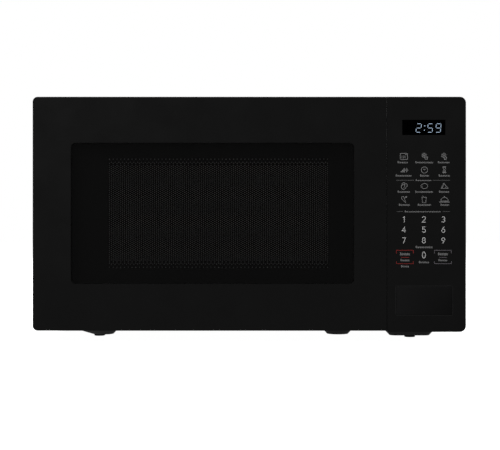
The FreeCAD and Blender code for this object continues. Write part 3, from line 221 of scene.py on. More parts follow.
def painted_sheen_black(name, first, second, low, high, rough):
    """Glossy black with a painted sheen: its tone runs slantwise from lighter at the top left to darker at the
    bottom right of a box.
    """
    made = gloss_black(name, first, rough)
    place = made.position()
    across = made.remap(place["X"], 0.0, 0.5, low.x, high.x)
    down = made.remap(place["Z"], 0.5, 0.0, low.z, high.z)
    return made.paint(made.mix(made.math("ADD", across, down), first, second))


def moulded(name, colour, rough, grain=2200.0, depth=0.03, **sockets):
    """Plain moulded plastic with a fine spark-eroded grain."""
    made = Graph(name, colour, rough, **sockets)
    made.mottle(0.07, 22.0).vary_rough(rough - 0.07, rough + 0.07, 90.0)
    made.bump(made.noise(grain, 4.0), 0.35, depth)
    # lighter edges: partly rubbed wear, partly a painted highlight
    return made.edge_wear_and_painted_highlight(tuple(min(1.0, c * 1.7) for c in colour), 0.4)


def plated(name, colour, rough):
    """Zinc-plated steel: brushed, with a faint yellow and grey cloud."""
    made = Graph(name, colour, rough, 1.0)
    warm = (colour[0] * 1.02, colour[1] * 0.96, colour[2] * 0.82)
    made.paint(made.mix(made.remap(made.noise(120.0), 0.0, 1.0), colour, warm))
    made.vary_rough(rough - 0.09, rough + 0.12, 240.0)
    return made.bump(made.noise(900.0, 3.0, (1.0, 1.0, 14.0)), 0.15, 0.01)


def spangled(name, colour, rough):
    """Hot-dip coated sheet with its crystal pattern."""
    made = Graph(name, colour, rough, 0.85)
    dark = tuple(c * 0.78 for c in colour)
    flake = made.remap(made.cells(130.0), 0.0, 1.0, 0.1, 0.9)
    made.paint(made.mix(flake, dark, colour)).vary_rough(rough - 0.1, rough + 0.12, 150.0)
    return made.bump(made.cells(130.0, "Distance"), 0.08, 0.02)


def textured_paint(name, colour, rough, scale=1250.0, depth=0.05, gloss=0.4):
    """Powder paint with a fine leathery texture, lighter at its bends: partly rubbed wear, partly a painted
    highlight.
    """
    made = Graph(name, colour, rough, Specular_IOR_Level=gloss)
    made.mottle(0.05, 7.0).vary_rough(rough - 0.025, rough + 0.035, 30.0)
    made.bump(made.noise(scale, 3.0), 0.55, depth)
    made.bump(made.cells(scale * 0.7, "Distance", "SMOOTH_F1"), 0.25, depth)
    return made.edge_wear_and_painted_highlight(tuple(c * 2.2 for c in colour), 0.5, 0.6)


def enamel(name, colour):
    """Light grey cavity enamel with dark and pale flecks and a glossy top coat."""
    made = Graph(name, colour, 0.34, Coat_Weight=0.35, Coat_Roughness=0.12)
    made.mottle(0.04, 12.0)
    dark = tuple(c * 0.42 for c in colour)
    pale = tuple(min(1.0, c * 1.3) for c in colour)
    flecks = made.remap(made.noise(2100.0, 1.0), 0.0, 1.0, 0.66, 0.70)
    lights = made.remap(made.noise(1700.0, 1.0), 0.0, 1.0, 0.68, 0.73)
    made.paint(made.mix(flecks, made.painted, dark))
    made.paint(made.mix(lights, made.painted, pale))
    made.vary_rough(0.28, 0.42, 45.0)
    return made.bump(made.noise(420.0, 2.0), 0.10, 0.03)


def mica(name):
    made = Graph(name, (0.50, 0.43, 0.31), 0.38)
    flakes = made.remap(made.cells(520.0), 0.0, 1.0, 0.2, 0.9)
    made.paint(made.mix(flakes, (0.40, 0.33, 0.22), (0.60, 0.54, 0.42))).vary_rough(0.25, 0.5, 300.0)
    return made.bump(made.cells(520.0, "Distance"), 0.2, 0.03)


def board(name):
    """Green solder mask over copper tracks."""
    made = Graph(name, (0.02, 0.12, 0.05), 0.35, Coat_Weight=0.3, Coat_Roughness=0.2)
    tracks = made.add("ShaderNodeTexBrick", offset=0.35)
    tracks.inputs["Scale"].default_value = 90.0
    tracks.inputs["Mortar Size"].default_value = 0.035
    made.link(made.stretched((1.0, 0.0, 1.0)), tracks.inputs["Vector"])
    made.paint(made.mix(tracks.outputs["Fac"], (0.015, 0.10, 0.04), (0.04, 0.22, 0.09)))
    made.vary_rough(0.28, 0.42, 200.0)
    return made.bump(tracks.outputs["Fac"], 0.3, 0.03)


def wound(name, colour, scale, direction):
    """Varnished windings or stacked sheets: even lines across the piece."""
    made = Graph(name, colour, 0.4, 0.6)
    lines = made.bands(scale, direction, 0.4)
    made.paint(made.mix(lines, tuple(c * 0.5 for c in colour), colour)).vary_rough(0.3, 0.5, 120.0)
    return made.bump(lines, 0.6, 0.15)


def brushed(name, colour, rough, stretch):
    made = Graph(name, colour, rough, 1.0)
    made.mottle(0.06, 80.0).vary_rough(rough - 0.08, rough + 0.1, 300.0, stretch)
    return made.bump(made.noise(700.0, 3.0, stretch), 0.25, 0.02)


def glazed(name, colour, rough, **sockets):
    """Clear or tinted glass and film, with faint smears."""
    made = Graph(name, colour, rough, **sockets)
    made.mottle(0.05, 10.0).vary_rough(max(0.0, rough - 0.02), rough + 0.05, 18.0)
    return made


def film_with_painted_light(name, colour, behind, inner):
    """Clear film over the perforated screen, painted with light and shade: a painted spot of light where a
    hole is behind it and painted shadow where steel is.

    The face towards the cavity is painted with the unlit side of the screen, as painted shade, so its holes
    are dim.
    """
    made = glazed(name, colour, 0.4, Alpha=0.95)
    place = made.position()
    gaps = []
    for shift in (0.0, 1.0):
        across = made.math("SUBTRACT", place["X"], FIELD_LEFT + shift * HALF_COLUMN)
        down = made.math("SUBTRACT", place["Z"], FIELD_TOP + shift * HALF_ROW)
        wrapped = (made.math("PINGPONG", across, HALF_COLUMN), made.math("PINGPONG", down, HALF_ROW))
        squares = [made.math("MULTIPLY", part, part) for part in wrapped]
        gaps.append(made.math("SQRT", made.math("ADD", *squares)))
    nearest = made.math("MINIMUM", *gaps)
    # painted light: pale spots on the film behind each hole, painted shadow behind the steel
    light = made.remap(nearest, 1.0, 0.0, HOLE_RADIUS + 0.10 * MM, HOLE_RADIUS + 0.18 * MM)
    for axis, low, high in (
        ("X", FIELD_LEFT, FIELD_LEFT + COLUMNS * HALF_COLUMN),
        ("Z", FIELD_TOP - ROWS * HALF_ROW, FIELD_TOP),
    ):
        above = made.math("GREATER_THAN", place[axis], low - MM)
        below = made.math("LESS_THAN", place[axis], high + MM)
        light = made.math("MULTIPLY", light, made.math("MULTIPLY", above, below))
    # painted shade: the face towards the cavity gets the dim inner tone
    low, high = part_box("door_film")
    inside = made.math("GREATER_THAN", place["Y"], (low.y + high.y) / 2)
    return made.paint(made.mix(light, behind, made.mix(inside, made.painted, inner)))


def ink(name, colour):
    made = Graph(name, colour, 0.5)
    made.mottle(0.05, 300.0).vary_rough(0.42, 0.58, 500.0)
    return made.bump(made.noise(5000.0, 2.0), 0.2, 0.01)


def lit(name, colour, strength):
    made = Graph(name, tuple(c * 0.4 for c in colour), 0.4)
    made.mottle(0.04, 200.0).vary_rough(0.3, 0.5, 400.0)
    made.shader.inputs["Emission Color"].default_value = (*colour, 1.0)
    made.shader.inputs["Emission Strength"].default_value = strength
    return made


LOOK = {
    "door_plastic": gloss_black("door_plastic", (0.0072, 0.0072, 0.0072), 0.27),
    # painted light: the panel's wall in the gap beside the door gets a paler tone, 0.12
    "panel_plastic": painted_gap_light(gloss_black("panel_plastic", (0.0060, 0.0060, 0.0061), 0.29), 0.12),
    "overlay_film": gloss_black("overlay_film", (0.0057, 0.0057, 0.0057), 0.33),
    # painted sheen: the release button's face is lighter at its top left and darker at its bottom right
    "button_plastic": painted_sheen_black(
        "button_plastic", (0.0152, 0.0151, 0.0156), (0.0008, 0.0008, 0.0009), *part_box("release_button"), 0.27
    ),
    "window_pane": glazed("window_pane", (0.0097, 0.0097, 0.0095), 0.04, Alpha=0.28),
    "screen_steel": textured_paint("screen_steel", (0.0014, 0.0014, 0.0014), 0.5, 2400.0, 0.02, 0.1),
    "choke_plastic": moulded("choke_plastic", (0.018, 0.018, 0.019), 0.5),
    # painted light and shade on the film: pale behind the holes, dark behind the steel, dim on the cavity side
    "clear_film": film_with_painted_light(
        "clear_film", (0.94, 0.94, 0.92), behind=(0.02, 0.02, 0.02), inner=(0.13, 0.13, 0.13)
    ),
    "nylon": moulded("nylon", (0.68, 0.66, 0.58), 0.45),
    "latch_plastic": moulded("latch_plastic", (0.55, 0.55, 0.50), 0.38, 1500.0, 0.02),
    "spring_steel": brushed("spring_steel", (0.62, 0.62, 0.63), 0.28, (1.0, 1.0, 6.0)),
    "zinc_steel": plated("zinc_steel", (0.66, 0.66, 0.64), 0.34),
    "display_lens": glazed("display_lens", (0.0001, 0.0001, 0.0001), 0.07, Specular_IOR_Level=0.02),
    "display_dark": moulded("display_dark", (0.02, 0.02, 0.02), 0.4),
    "circuit_board": board("circuit_board"),
    "membrane_film": moulded("membrane_film", (0.5, 0.51, 0.5), 0.4, 3000.0, 0.01),
    "bracket_plastic": moulded("bracket_plastic", (0.62, 0.61, 0.55), 0.46),
    "switch_plastic": moulded("switch_plastic", (0.02, 0.02, 0.021), 0.42),
    "plunger_plastic": moulded("plunger_plastic", (0.42, 0.05, 0.04), 0.4),
    "cavity_enamel": enamel("cavity_enamel", (0.40, 0.40, 0.385)),
    "aluminised_steel": spangled("aluminised_steel", (0.62, 0.63, 0.63), 0.4),
    "mica": mica("mica"),
    "lamp_glass": glazed("lamp_glass", (0.85, 0.82, 0.74), 0.12, Alpha=0.75),
    "black_plastic": moulded("black_plastic", (0.016, 0.016, 0.016), 0.5),
    "coupler_plastic": moulded("coupler_plastic", (0.22, 0.22, 0.21), 0.5),
    "tray_glass": glazed("tray_glass", (0.88, 0.95, 0.93), 0.03, Transmission_Weight=0.92, IOR=1.47),
    "roller_plastic": moulded("roller_plastic", (0.70, 0.70, 0.67), 0.42),
    "ferrite_yoke": plated("ferrite_yoke", (0.58, 0.58, 0.57), 0.36),
    "copper_anode": brushed("copper_anode", (0.72, 0.42, 0.28), 0.32, (1.0, 12.0, 12.0)),
    "fin_aluminium": brushed("fin_aluminium", (0.80, 0.80, 0.81), 0.33, (1.0, 8.0, 1.0)),
    "core_steel": wound("core_steel", (0.10, 0.10, 0.11), 260.0, "Y"),
    "winding_copper": wound("winding_copper", (0.45, 0.19, 0.09), 170.0, "Z"),
    "can_aluminium": brushed("can_aluminium", (0.72, 0.72, 0.73), 0.3, (6.0, 6.0, 1.0)),
    "fan_plastic": moulded("fan_plastic", (0.60, 0.60, 0.57), 0.5),
    "base_steel": textured_paint("base_steel", (0.056, 0.056, 0.056), 0.36, 1700.0, 0.03),
    "rubber": moulded("rubber", (0.002, 0.002, 0.002), 0.78, 1400.0, 0.05, Specular_IOR_Level=0.12),
    "casing_paint": textured_paint("casing_paint", (0.012, 0.012, 0.0122), 0.46),
}
INK = {
    "grey": ink("ink_grey", (0.42, 0.42, 0.42)),
    "caption": ink("ink_caption", (0.34, 0.34, 0.34)),
    "pale": ink("ink_pale", (0.95, 0.95, 0.945)),
    "red": ink("ink_red", (0.42, 0.035, 0.03)),
    "violet": ink("ink_violet_grey", (0.24, 0.22, 0.245)),
    "rule": ink("ink_rule", (0.20, 0.20, 0.20)),
}


def smooth(thing, degrees=32.0):
    """Smooth shading that keeps edges sharper than the angle."""
    data = thing.data
    data.polygons.foreach_set("use_smooth", [True] * len(data.polygons))
    data.set_sharp_from_angle(angle=math.radians(degrees))


SLOT_OF = {row["node"]: row["material_slot"] for row in frame["record"]["subparts"]}
for label, thing in nodes.items():
    thing.data.materials.clear()
    thing.data.materials.append(LOOK[SLOT_OF[label]].material)

# ---------------------------------------------------------------- mesh helpers


def piece(label, bm, look, body):
    """Makes an object of a bmesh, gives it its material and hangs it on its body."""
    bmesh.ops.recalc_face_normals(bm, faces=bm.faces)
    data = bpy.data.meshes.new(label)
    bm.to_mesh(data)
    bm.free()
    made = bpy.data.objects.new(label, data)
    bpy.context.scene.collection.objects.link(made)
    data.materials.append(look.material)
    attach(made, body)
    return made


def plate(bm, outline, front, back):
    """A closed flat solid: outline is (x, z) in metres, front and back are its two y."""
    near = [bm.verts.new((x, front, z)) for x, z in outline]
    far = [bm.verts.new((x, back, z)) for x, z in outline]
    bm.faces.new(near)
    bm.faces.new(far[::-1])
    for i, a in enumerate(near):
        j = (i + 1) % len(near)
        bm.faces.new((near[j], a, far[i], far[j]))


def ribbon(bm, points, width, front, back, closed=False):
    """A line of even width through points, mitred at its corners, as a closed flat solid."""
    path = [Vector(p) for p in points]
    count = len(path)
    left, right = [], []
    for i, p in enumerate(path):
        before = path[i - 1] if (closed or i) else None
        after = path[(i + 1) % count] if (closed or i < count - 1) else None
        ways = [(q - r).normalized() for q, r in ((p, before), (after, p)) if q is not None and r is not None]
        along = sum(ways, Vector((0.0, 0.0))).normalized()
        normal = Vector((-along.y, along.x))
        reach = width / 2 / max(0.45, abs(along.dot(ways[0])))
        left.append(p + normal * reach)
        right.append(p - normal * reach)
    rows = [
        [bm.verts.new((q.x, y, q.y)) for q in side]
        for side, y in ((left, front), (right, front), (right, back), (left, back))
    ]
    last = count if closed else count - 1
    for i in range(last):
        j = (i + 1) % count
        for a, b in zip(rows, rows[1:] + rows[:1]):
            bm.faces.new((a[i], a[j], b[j], b[i]))
    if not closed:
        bm.faces.new([row[0] for row in rows])
        bm.faces.new([row[-1] for row in rows][::-1])


def arc(x, z, across, up, start, end, steps=12):
    """Points of an ellipse from one angle to another, in degrees."""
    angles = [math.radians(start + (end - start) * i / steps) for i in range(steps + 1)]
    return [(x + across * math.cos(a), z + up * math.sin(a)) for a in angles]


def loop(x, z, across, up, steps=20):
    return arc(x, z, across, up, 0, 360, steps)[:-1]


def rounded(x, z, radius, steps=5):
    """A rounded rectangle between x[0], x[1] and z[0], z[1]."""
    corners = ((x[1], z[1], 0), (x[0], z[1], 90), (x[0], z[0], 180), (x[1], z[0], 270))
    points = []
    for corner_x, corner_z, turn in corners:
        cx = corner_x - math.copysign(radius, corner_x - sum(x) / 2)
        cz = corner_z - math.copysign(radius, corner_z - sum(z) / 2)
        points += arc(cx, cz, radius, radius, turn, turn + 90, steps)
    return points


# ---------------------------------------------------------------- perforated door screen


def has_hole(row):
    """The rows nearest the two ends are thinned out."""
    from_end = min(row, ROWS - row)
    return from_end not in (2, 5, 1)


def field(bm, first, last, y):
    """The flat perforated sheet of columns first to last, as six-sided cells with a round hole in each.

    Every second column is offset by half a pitch.
    """
    tip = (HALF_COLUMN**2 + HALF_ROW**2) / (2 * HALF_COLUMN)
    shoulder = (HALF_COLUMN**2 - HALF_ROW**2) / (2 * HALF_COLUMN)
    upper = [(tip, 0), (shoulder, HALF_ROW), (-shoulder, HALF_ROW)]
    corners = upper + [(-dx, -dz) for dx, dz in upper]
    shared = {}

    def corner(x, z):
        key = (round(x * 1e6), round(z * 1e6))
        near = [(key[0] + i, key[1] + j) for i in (0, 1, -1) for j in (0, 1, -1)]
        found = next((shared[k] for k in near if k in shared), None)
        if found is None:
            found = shared[key] = bm.verts.new((x, y, z))
        return found

    for column in range(first, last + 1):
        for row in range(column % 2, ROWS + 1, 2):
            x, z = FIELD_LEFT + column * HALF_COLUMN, FIELD_TOP - row * HALF_ROW
            cell = [corner(x + dx, z + dz) for dx, dz in corners]
            if not has_hole(row):
                bm.faces.new(cell)
                continue
            ring = [
                bm.verts.new((x + HOLE_RADIUS * math.cos(a), y, z + HOLE_RADIUS * math.sin(a)))
                for a in [math.tau * k / HOLE_SIDES for k in range(HOLE_SIDES)]
            ]
            for k in range(6):
                of_hole = (ring[(2 * k + 2) % HOLE_SIDES], ring[2 * k + 1], ring[2 * k])
                bm.faces.new((cell[k], cell[(k + 1) % 6], *of_hole))


def thicken(bm, depth):
    """Turns a flat sheet into a closed solid: a far copy, and a wall at every open edge."""
    flat = list(bm.faces)
    open_edges = [e for e in bm.edges if len(e.link_faces) == 1]
    far = {v: bm.verts.new((v.co.x, v.co.y + depth, v.co.z)) for v in list(bm.verts)}
    for face in flat:
        bm.faces.new([far[v] for v in reversed(face.verts)])
    for edge in open_edges:
        a, b = edge.verts
        bm.faces.new((a, b, far[b], far[a]))


screen_low, screen_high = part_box("door_screen")
SHEET, PAN_CORNER = 0.8 * MM, 5 * MM
MIDDLE_COLUMN = COLUMNS // 2
for label, first, last in (("screen_left", 0, MIDDLE_COLUMN), ("screen_right", MIDDLE_COLUMN + 1, COLUMNS)):
    bm = bmesh.new()
    field(bm, first, last, screen_low.y)
    thicken(bm, SHEET)
    piece(label, bm, LOOK["screen_steel"], "door")


def pan_outline(inset):
    x = (screen_low.x + inset, screen_high.x - inset)
    z = (screen_low.z + inset, screen_high.z - inset)
    return rounded(x, z, PAN_CORNER - inset, 6)


def near_hole(co):
    """Whether a point of the flat field is on the edge of a hole rather than on a cell's corner."""
    column = round((co.x - FIELD_LEFT) / HALF_COLUMN)
    for c in (column - 1, column, column + 1):
        row = round((FIELD_TOP - co.z) / HALF_ROW)
        for r in (row - 1, row, row + 1):
            if (c + r) % 2 == 0:
                gap = math.hypot(co.x - FIELD_LEFT - c * HALF_COLUMN, co.z - FIELD_TOP + r * HALF_ROW)
                if abs(gap - HOLE_RADIUS) < 0.02 * MM:
                    return True
    return False


def pan():
    """The plain margin of the screen and the rim that stands round it."""
    bm = bmesh.new()
    cells = bmesh.new()
    field(cells, 0, COLUMNS, screen_low.y)
    copied = {}
    for edge in cells.edges:
        if len(edge.link_faces) > 1 or all(near_hole(v.co) for v in edge.verts):
            continue
        for v in edge.verts:
            if v not in copied:
                copied[v] = bm.verts.new(v.co)
        bm.edges.new([copied[v] for v in edge.verts])
    cells.free()
    outer = [bm.verts.new((x, screen_low.y, z)) for x, z in pan_outline(0.0)]
    for i, v in enumerate(outer):
        bm.edges.new((v, outer[(i + 1) % len(outer)]))
    bmesh.ops.triangle_fill(bm, edges=list(bm.edges), use_beauty=True)
    thicken(bm, SHEET)
    near, far = screen_low.y + SHEET, screen_high.y
    # the rim's outer wall, its edge, its inner wall and its foot
    for inset_a, inset_b, ya, yb in (
        (0.0, 0.0, near, far),
        (0.0, SHEET, far, far),
        (SHEET, SHEET, far, near),
        (SHEET, 0.0, near, near),
    ):
        a = [bm.verts.new((x, ya, z)) for x, z in pan_outline(inset_a)]
        b = [bm.verts.new((x, yb, z)) for x, z in pan_outline(inset_b)]
        for i in range(len(a)):
            j = (i + 1) % len(a)
            bm.faces.new((a[i], a[j], b[j], b[i]))
    bmesh.ops.remove_doubles(bm, verts=list(bm.verts), dist=1e-6)
    return piece("screen_pan", bm, LOOK["screen_steel"], "door")


screen_pan = pan()
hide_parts("door_screen")

# ---------------------------------------------------------------- printed graphics of the control panel

overlay_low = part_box("panel_overlay")[0]
PRINT_FRONT = overlay_low.y - 0.03 * MM
PRINT_BACK = overlay_low.y + 0.01 * MM
KEY_COLUMNS = (160.85, 181.6, 201.85)
ICON_SIZE = 0.93
inks = {name: bmesh.new() for name in INK}


def stroke(ink_name, points, width, closed=False, at=(0.0, 0.0), size=1.0):
    """One printed line. points are in mm, scaled by size round the place at."""
    placed = [((at[0] + size * x) * MM, (at[1] + size * z) * MM) for x, z in points]
    ribbon(inks[ink_name], placed, width * MM, PRINT_FRONT, PRINT_BACK, closed)


# each digit's lines, in heights of the digit: points and whether the line closes
DIGITS = {
    "0": [(loop(0, 0, 0.23, 0.46, 24), True)],
    "1": [([(-0.16, 0.30), (0.07, 0.46), (0.07, -0.5)], False)],
    "2": [(arc(0, 0.20, 0.27, 0.27, 165, -38, 12) + [(-0.28, -0.46), (0.31, -0.46)], False)],
    "3": [(arc(0, 0.225, 0.24, 0.235, 155, -90, 12) + arc(0, -0.225, 0.275, 0.235, 90, -155, 12)[1:], False)],
    "4": [([(0.13, -0.5), (0.13, 0.46), (-0.30, -0.20), (0.33, -0.20)], False)],
    "5": [([(0.25, 0.46), (-0.19, 0.46), (-0.22, 0.07)] + arc(0, -0.17, 0.28, 0.29, 118, -150, 12), False)],
    "6": [(loop(0, -0.18, 0.27, 0.28), True), ([(0.14, 0.48), (-0.08, 0.24), (-0.24, -0.02)], False)],
    "7": [([(-0.27, 0.46), (0.28, 0.46), (-0.10, -0.5)], False)],
    "8": [(loop(0, 0.235, 0.225, 0.225), True), (loop(0, -0.225, 0.275, 0.235), True)],
    "9": [(loop(0, 0.18, 0.27, 0.28), True), ([(0.24, 0.02), (0.08, -0.24), (-0.14, -0.48)], False)],
}


def digit(mark, x, z, height):
    for points, closed in DIGITS[mark]:
        stroke("pale", points, 0.68, closed, (x, z), height)


def dashes(x, z, height=1.5):
    """A caption without letters: a row of short blocks between x[0] and x[1], the first one taller."""
    widths = (0.95, 0.62, 0.85, 0.5, 0.9, 0.7)
    gap, extra_rise, narrowest = 0.42, 0.7, 0.3
    at, i = x[0], 0
    while at < x[1] - narrowest:
        end = min(at + widths[i % len(widths)], x[1])
        top = z + height / 2 + (extra_rise if i == 0 else 0.0)
        block = [(at, z - height / 2), (end, z - height / 2), (end, top), (at, top)]
        plate(inks["caption"], [(px * MM, pz * MM) for px, pz in block], PRINT_FRONT, PRINT_BACK)
        at, i = end + gap, i + 1


def snowflake(x, z, reach):
    """Six forked arms, as lines of an icon."""
    lines = []
    middle = Vector((x, z))
    for turn in range(30, 390, 60):
        a = math.radians(turn)
        along, across = Vector((math.cos(a), math.sin(a))), Vector((-math.sin(a), math.cos(a)))
        lines.append(([middle, middle + reach * along], 0.5, False))
        for side in (-0.32, 0.32):
            fork = [middle + reach * 0.55 * along, middle + reach * (0.88 * along + side * across)]
            lines.append((fork, 0.42, False))
    return lines


def dot(x, z, radius):
    """A filled disc, as a short ring thick enough to close over its middle."""
    return (loop(x, z, radius / 2, radius / 2, 10), radius, True)


def wave(x):
    return ([(x + 0.42 * math.sin(i * math.pi / 2.5), -2.0 + 0.42 * i) for i in range(8)], 0.32, False)


SPARK = [(0, 2.3), (0.45, 0.45), (1.5, 0), (0.45, -0.45), (0, -2.3), (-0.45, -0.45), (-1.5, 0), (-0.45, 0.45)]
HALF_GLASS = [(-1.55, 3.2), (-1.45, 1.7), (-0.3, 0), (-1.45, -1.7), (-1.55, -3.2)]
# each icon's lines in mm round its middle: points, width, and whether the line closes
ICONS = {
    "oven": [
        (rounded((-4.0, 4.0), (-3.4, 3.4), 0.5, 2), 0.5, True),
        ([(1.6, 2.0), (3.0, 2.0)], 0.7, False),
        *[wave(x) for x in (-2.4, -0.6, 1.2)],
    ],
    "thaw_time": snowflake(0, 0.9, 2.9)
    + [
        (rounded((0.9, 3.8), (-3.5, -0.6), 0.7, 3), 0.5, True),
        ([(2.35, -1.2), (2.35, -2.1), (3.1, -2.1)], 0.36, False),
    ],
    "thaw_weight": snowflake(0, 1.0, 2.9)
    + [(loop(1.7, -1.9, 1.35, 1.35, 14), 0.5, True), ([(0.3, -3.5), (3.1, -3.5)], 0.5, False)],
    "power": [([(-4.0 + 0.86 * i, -2.8), (-4.0 + 0.86 * i, -1.9 + 0.8 * i)], 0.5, False) for i in range(6)]
    + [([(2.7 + x, z - 0.3) for x, z in SPARK], 0.4, True)],
    "clock": [
        (loop(0, 0, 3.5, 3.5, 28), 0.5, True),
        ([(-1.5, 1.2), (0, 0.1), (1.3, 1.0)], 0.45, False),
    ],
    "timer": [
        *[([(-2.0, z), (2.0, z)], 0.55, False) for z in (3.4, -3.4)],
        (HALF_GLASS, 0.45, False),
        ([(-x, z) for x, z in HALF_GLASS], 0.45, False),
        *[([(-half, z), (half, z)], 0.5, False) for z, half in ((-2.7, 1.1), (-2.1, 0.7), (2.5, 0.8))],
    ],
    "popcorn": [
        (arc(-0.7, -1.0, 2.7, 2.7, 60, 350), 0.5, False),
        (arc(-0.5, 1.7, 2.0, 2.0, 0, 200), 0.5, False),
        (arc(1.7, 0.8, 1.8, 1.8, -70, 150), 0.5, False),
        ([(-0.6, -1.9), (0.6, -0.2), (0.2, 1.4)], 0.42, False),
    ],
    "potato": [
        (arc(0.2, 0, 3.7, 2.85, -165, 165, 24) + [(-4.0, 0)], 0.45, True),
        dot(-1.9, -0.3, 0.32),
    ],
    "pizza": [
        ([(-3.6, -2.9), (-0.7, 3.0), (3.9, -2.9)], 0.48, True),
        ([(-2.6, -2.4), (-0.5, 2.0)], 0.42, False),
        dot(1.0, -1.6, 0.4),
    ],
    "carrot": [
        ([(2.1, -3.6), (-2.5, 0.9), (-2.6, 2.9), (-1.0, 3.6), (0.5, 2.2)], 0.45, True),
        ([(0.2, 1.0), (2.4, 2.7)], 0.5, False),
        dot(2.6, 2.9, 0.95),
    ],
    "cup": [
        ([(-2.6, 2.5), (-1.9, -3.5), (1.6, -3.5), (2.5, 2.5)], 0.45, True),
        ([(-0.9, 2.4), (-1.7, 4.2)], 0.45, False),
    ],
    "cloche": [
        (arc(0, -2.4, 4.3, 4.8, 12, 168, 18), 0.5, False),
        ([(-4.3, -1.6), (4.3, -1.6)], 0.4, False),
        ([(-5.8, -2.8), (5.8, -2.8)], 0.8, False),
        dot(0, 3.1, 0.6),
    ],
}
# each row of keys: height of its captions, and per key its icon, the icon's middle and its caption's ends
KEY_ROWS = (
    (
        187.5,
        ("oven", 160.85, 193.9, (154.4, 165.4)),
        ("thaw_time", 181.9, 194.2, (172.9, 191.1)),
        ("thaw_weight", 202.4, 194.0, (196.3, 208.3)),
    ),
    (
        173.7,
        ("power", 161.3, 179.9, (152.4, 168.9)),
        ("clock", 182.2, 179.8, (177.8, 186.8)),
        ("timer", 202.9, 180.0, (197.2, 208.8)),
    ),
    (
        156.9,
        ("popcorn", 161.2, 163.1, (154.4, 167.5)),
        ("potato", 182.0, 163.1, (172.7, 191.0)),
        ("pizza", 203.1, 163.4, (197.5, 208.5)),
    ),
    (
        143.3,
        ("carrot", 160.8, 149.0, (155.7, 166.9)),
        ("cup", 182.0, 149.0, (175.4, 188.9)),
        ("cloche", 203.1, 149.1, (199.0, 207.8)),
    ),
)
for caption_z, *keys in KEY_ROWS:
    for icon, x, z, caption in keys:
        for points, width, closed in ICONS[icon]:
            stroke("grey", points, width, closed, (x, z), ICON_SIZE)
        dashes(caption, caption_z)
# two rules, each broken by a small caption
for z, lines, caption in (
    (169.05, ((152.9, 171.6), (191.1, 208.6)), (173.2, 189.8)),
    (136.5, ((153.2, 160.0), (201.4, 208.4)), (161.9, 199.5)),
):
    for x0, x1 in lines:
        stroke("rule", [(x0, z), (x1, z)], 0.42)
    dashes(caption, z - 0.2, 1.1)
for z, marks in ((128.3, "123"), (117.7, "456"), (106.5, "789")):
    for mark, x in zip(marks, KEY_COLUMNS):
        digit(mark, x, z, 6.1)
digit("0", KEY_COLUMNS[1], 91.3, 7.0)
for caption, z in (((173.2, 190.4), 99.3), ((176.6, 187.0), 83.6), ((158.0, 166.2), 79.3)):
    dashes(caption, z, 1.6)
# the two bracketed keys at the bottom corners, each with two captions and a bar between them
for ink_name, x0, x1, bar in (("red", 153.1, 170.7, 4.05), ("violet", 192.6, 210.2, 4.0)):
    middle = (x0 + x1) / 2
    for edge, foot in ((96.2, 92.9), (82.3, 84.7)):
        stroke(ink_name, [(x0, foot), (x0, edge), (x1, edge), (x1, foot)], 0.5)
    stroke(ink_name, [(middle - bar, 88.8), (middle + bar, 88.8)], 0.5)
    dashes((middle - 5.0, middle + 5.0), 92.1, 2.3)
    dashes((middle - 4.5, middle + 4.5), 85.6, 1.6)
for name, bm in inks.items():
    piece(f"print_{name}", bm, INK[name], "oven")

# ---------------------------------------------------------------- digits of the display

lens_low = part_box("display_lens")[0]
LIT_FRONT, LIT_BACK = lens_low.y - 0.02 * MM, lens_low.y + 0.02 * MM
SEGMENTS = {
    "a": ((0.12, 1.0), (0.88, 1.0)),
    "b": ((1.0, 0.94), (1.0, 0.55)),
    "c": ((1.0, 0.45), (1.0, 0.06)),
    "d": ((0.12, 0.0), (0.88, 0.0)),
    "e": ((0.0, 0.45), (0.0, 0.06)),
    "f": ((0.0, 0.94), (0.0, 0.55)),
    "g": ((0.12, 0.5), (0.88, 0.5)),
}
SHAPE_OF = {"2": "abged", "5": "afgcd", "9": "abcdfg"}
SLANT = 0.09
DIGIT_FOOT, DIGIT_WIDTH, DIGIT_HEIGHT, BAR = 219.0, 5.0, 8.9, 0.45
glow, unlit = bmesh.new(), bmesh.new()


def segment(bm, left, ends):
    """One bar of a seven-bar digit, pointed at both ends and leaning to the right."""
    a, b = (
        Vector((left + x * DIGIT_WIDTH + SLANT * z * DIGIT_HEIGHT, DIGIT_FOOT + z * DIGIT_HEIGHT))
        for x, z in ends
    )
    along = (b - a).normalized()
    side = Vector((-along.y, along.x)) * BAR / 2
    bevel = along * BAR / 2
    shape = [a, a + bevel + side, b - bevel + side, b, b - bevel - side, a + bevel - side]
    plate(bm, [(p.x * MM, p.y * MM) for p in shape], LIT_FRONT, LIT_BACK)


for mark, x in (("2", 173.4), ("5", 185.3), ("9", 193.8)):
    for name, ends in SEGMENTS.items():
        segment(glow if name in SHAPE_OF[mark] else unlit, x, ends)
COLON_X, HALF_DOT = 182.0, 0.42
for z in (221.2, 225.7):
    x = COLON_X + SLANT * (z - DIGIT_FOOT)
    outline = rounded((x - HALF_DOT, x + HALF_DOT), (z - HALF_DOT, z + HALF_DOT), 0.2, 2)
    plate(glow, [(px * MM, pz * MM) for px, pz in outline], LIT_FRONT, LIT_BACK)
piece("display_digits", glow, lit("digit_glow", (0.60, 0.78, 1.0), 0.68), "oven")
piece("display_unlit", unlit, ink("digit_unlit", (0.0012, 0.0013, 0.0015)), "oven")

# ---------------------------------------------------------------- raised rim round the release button

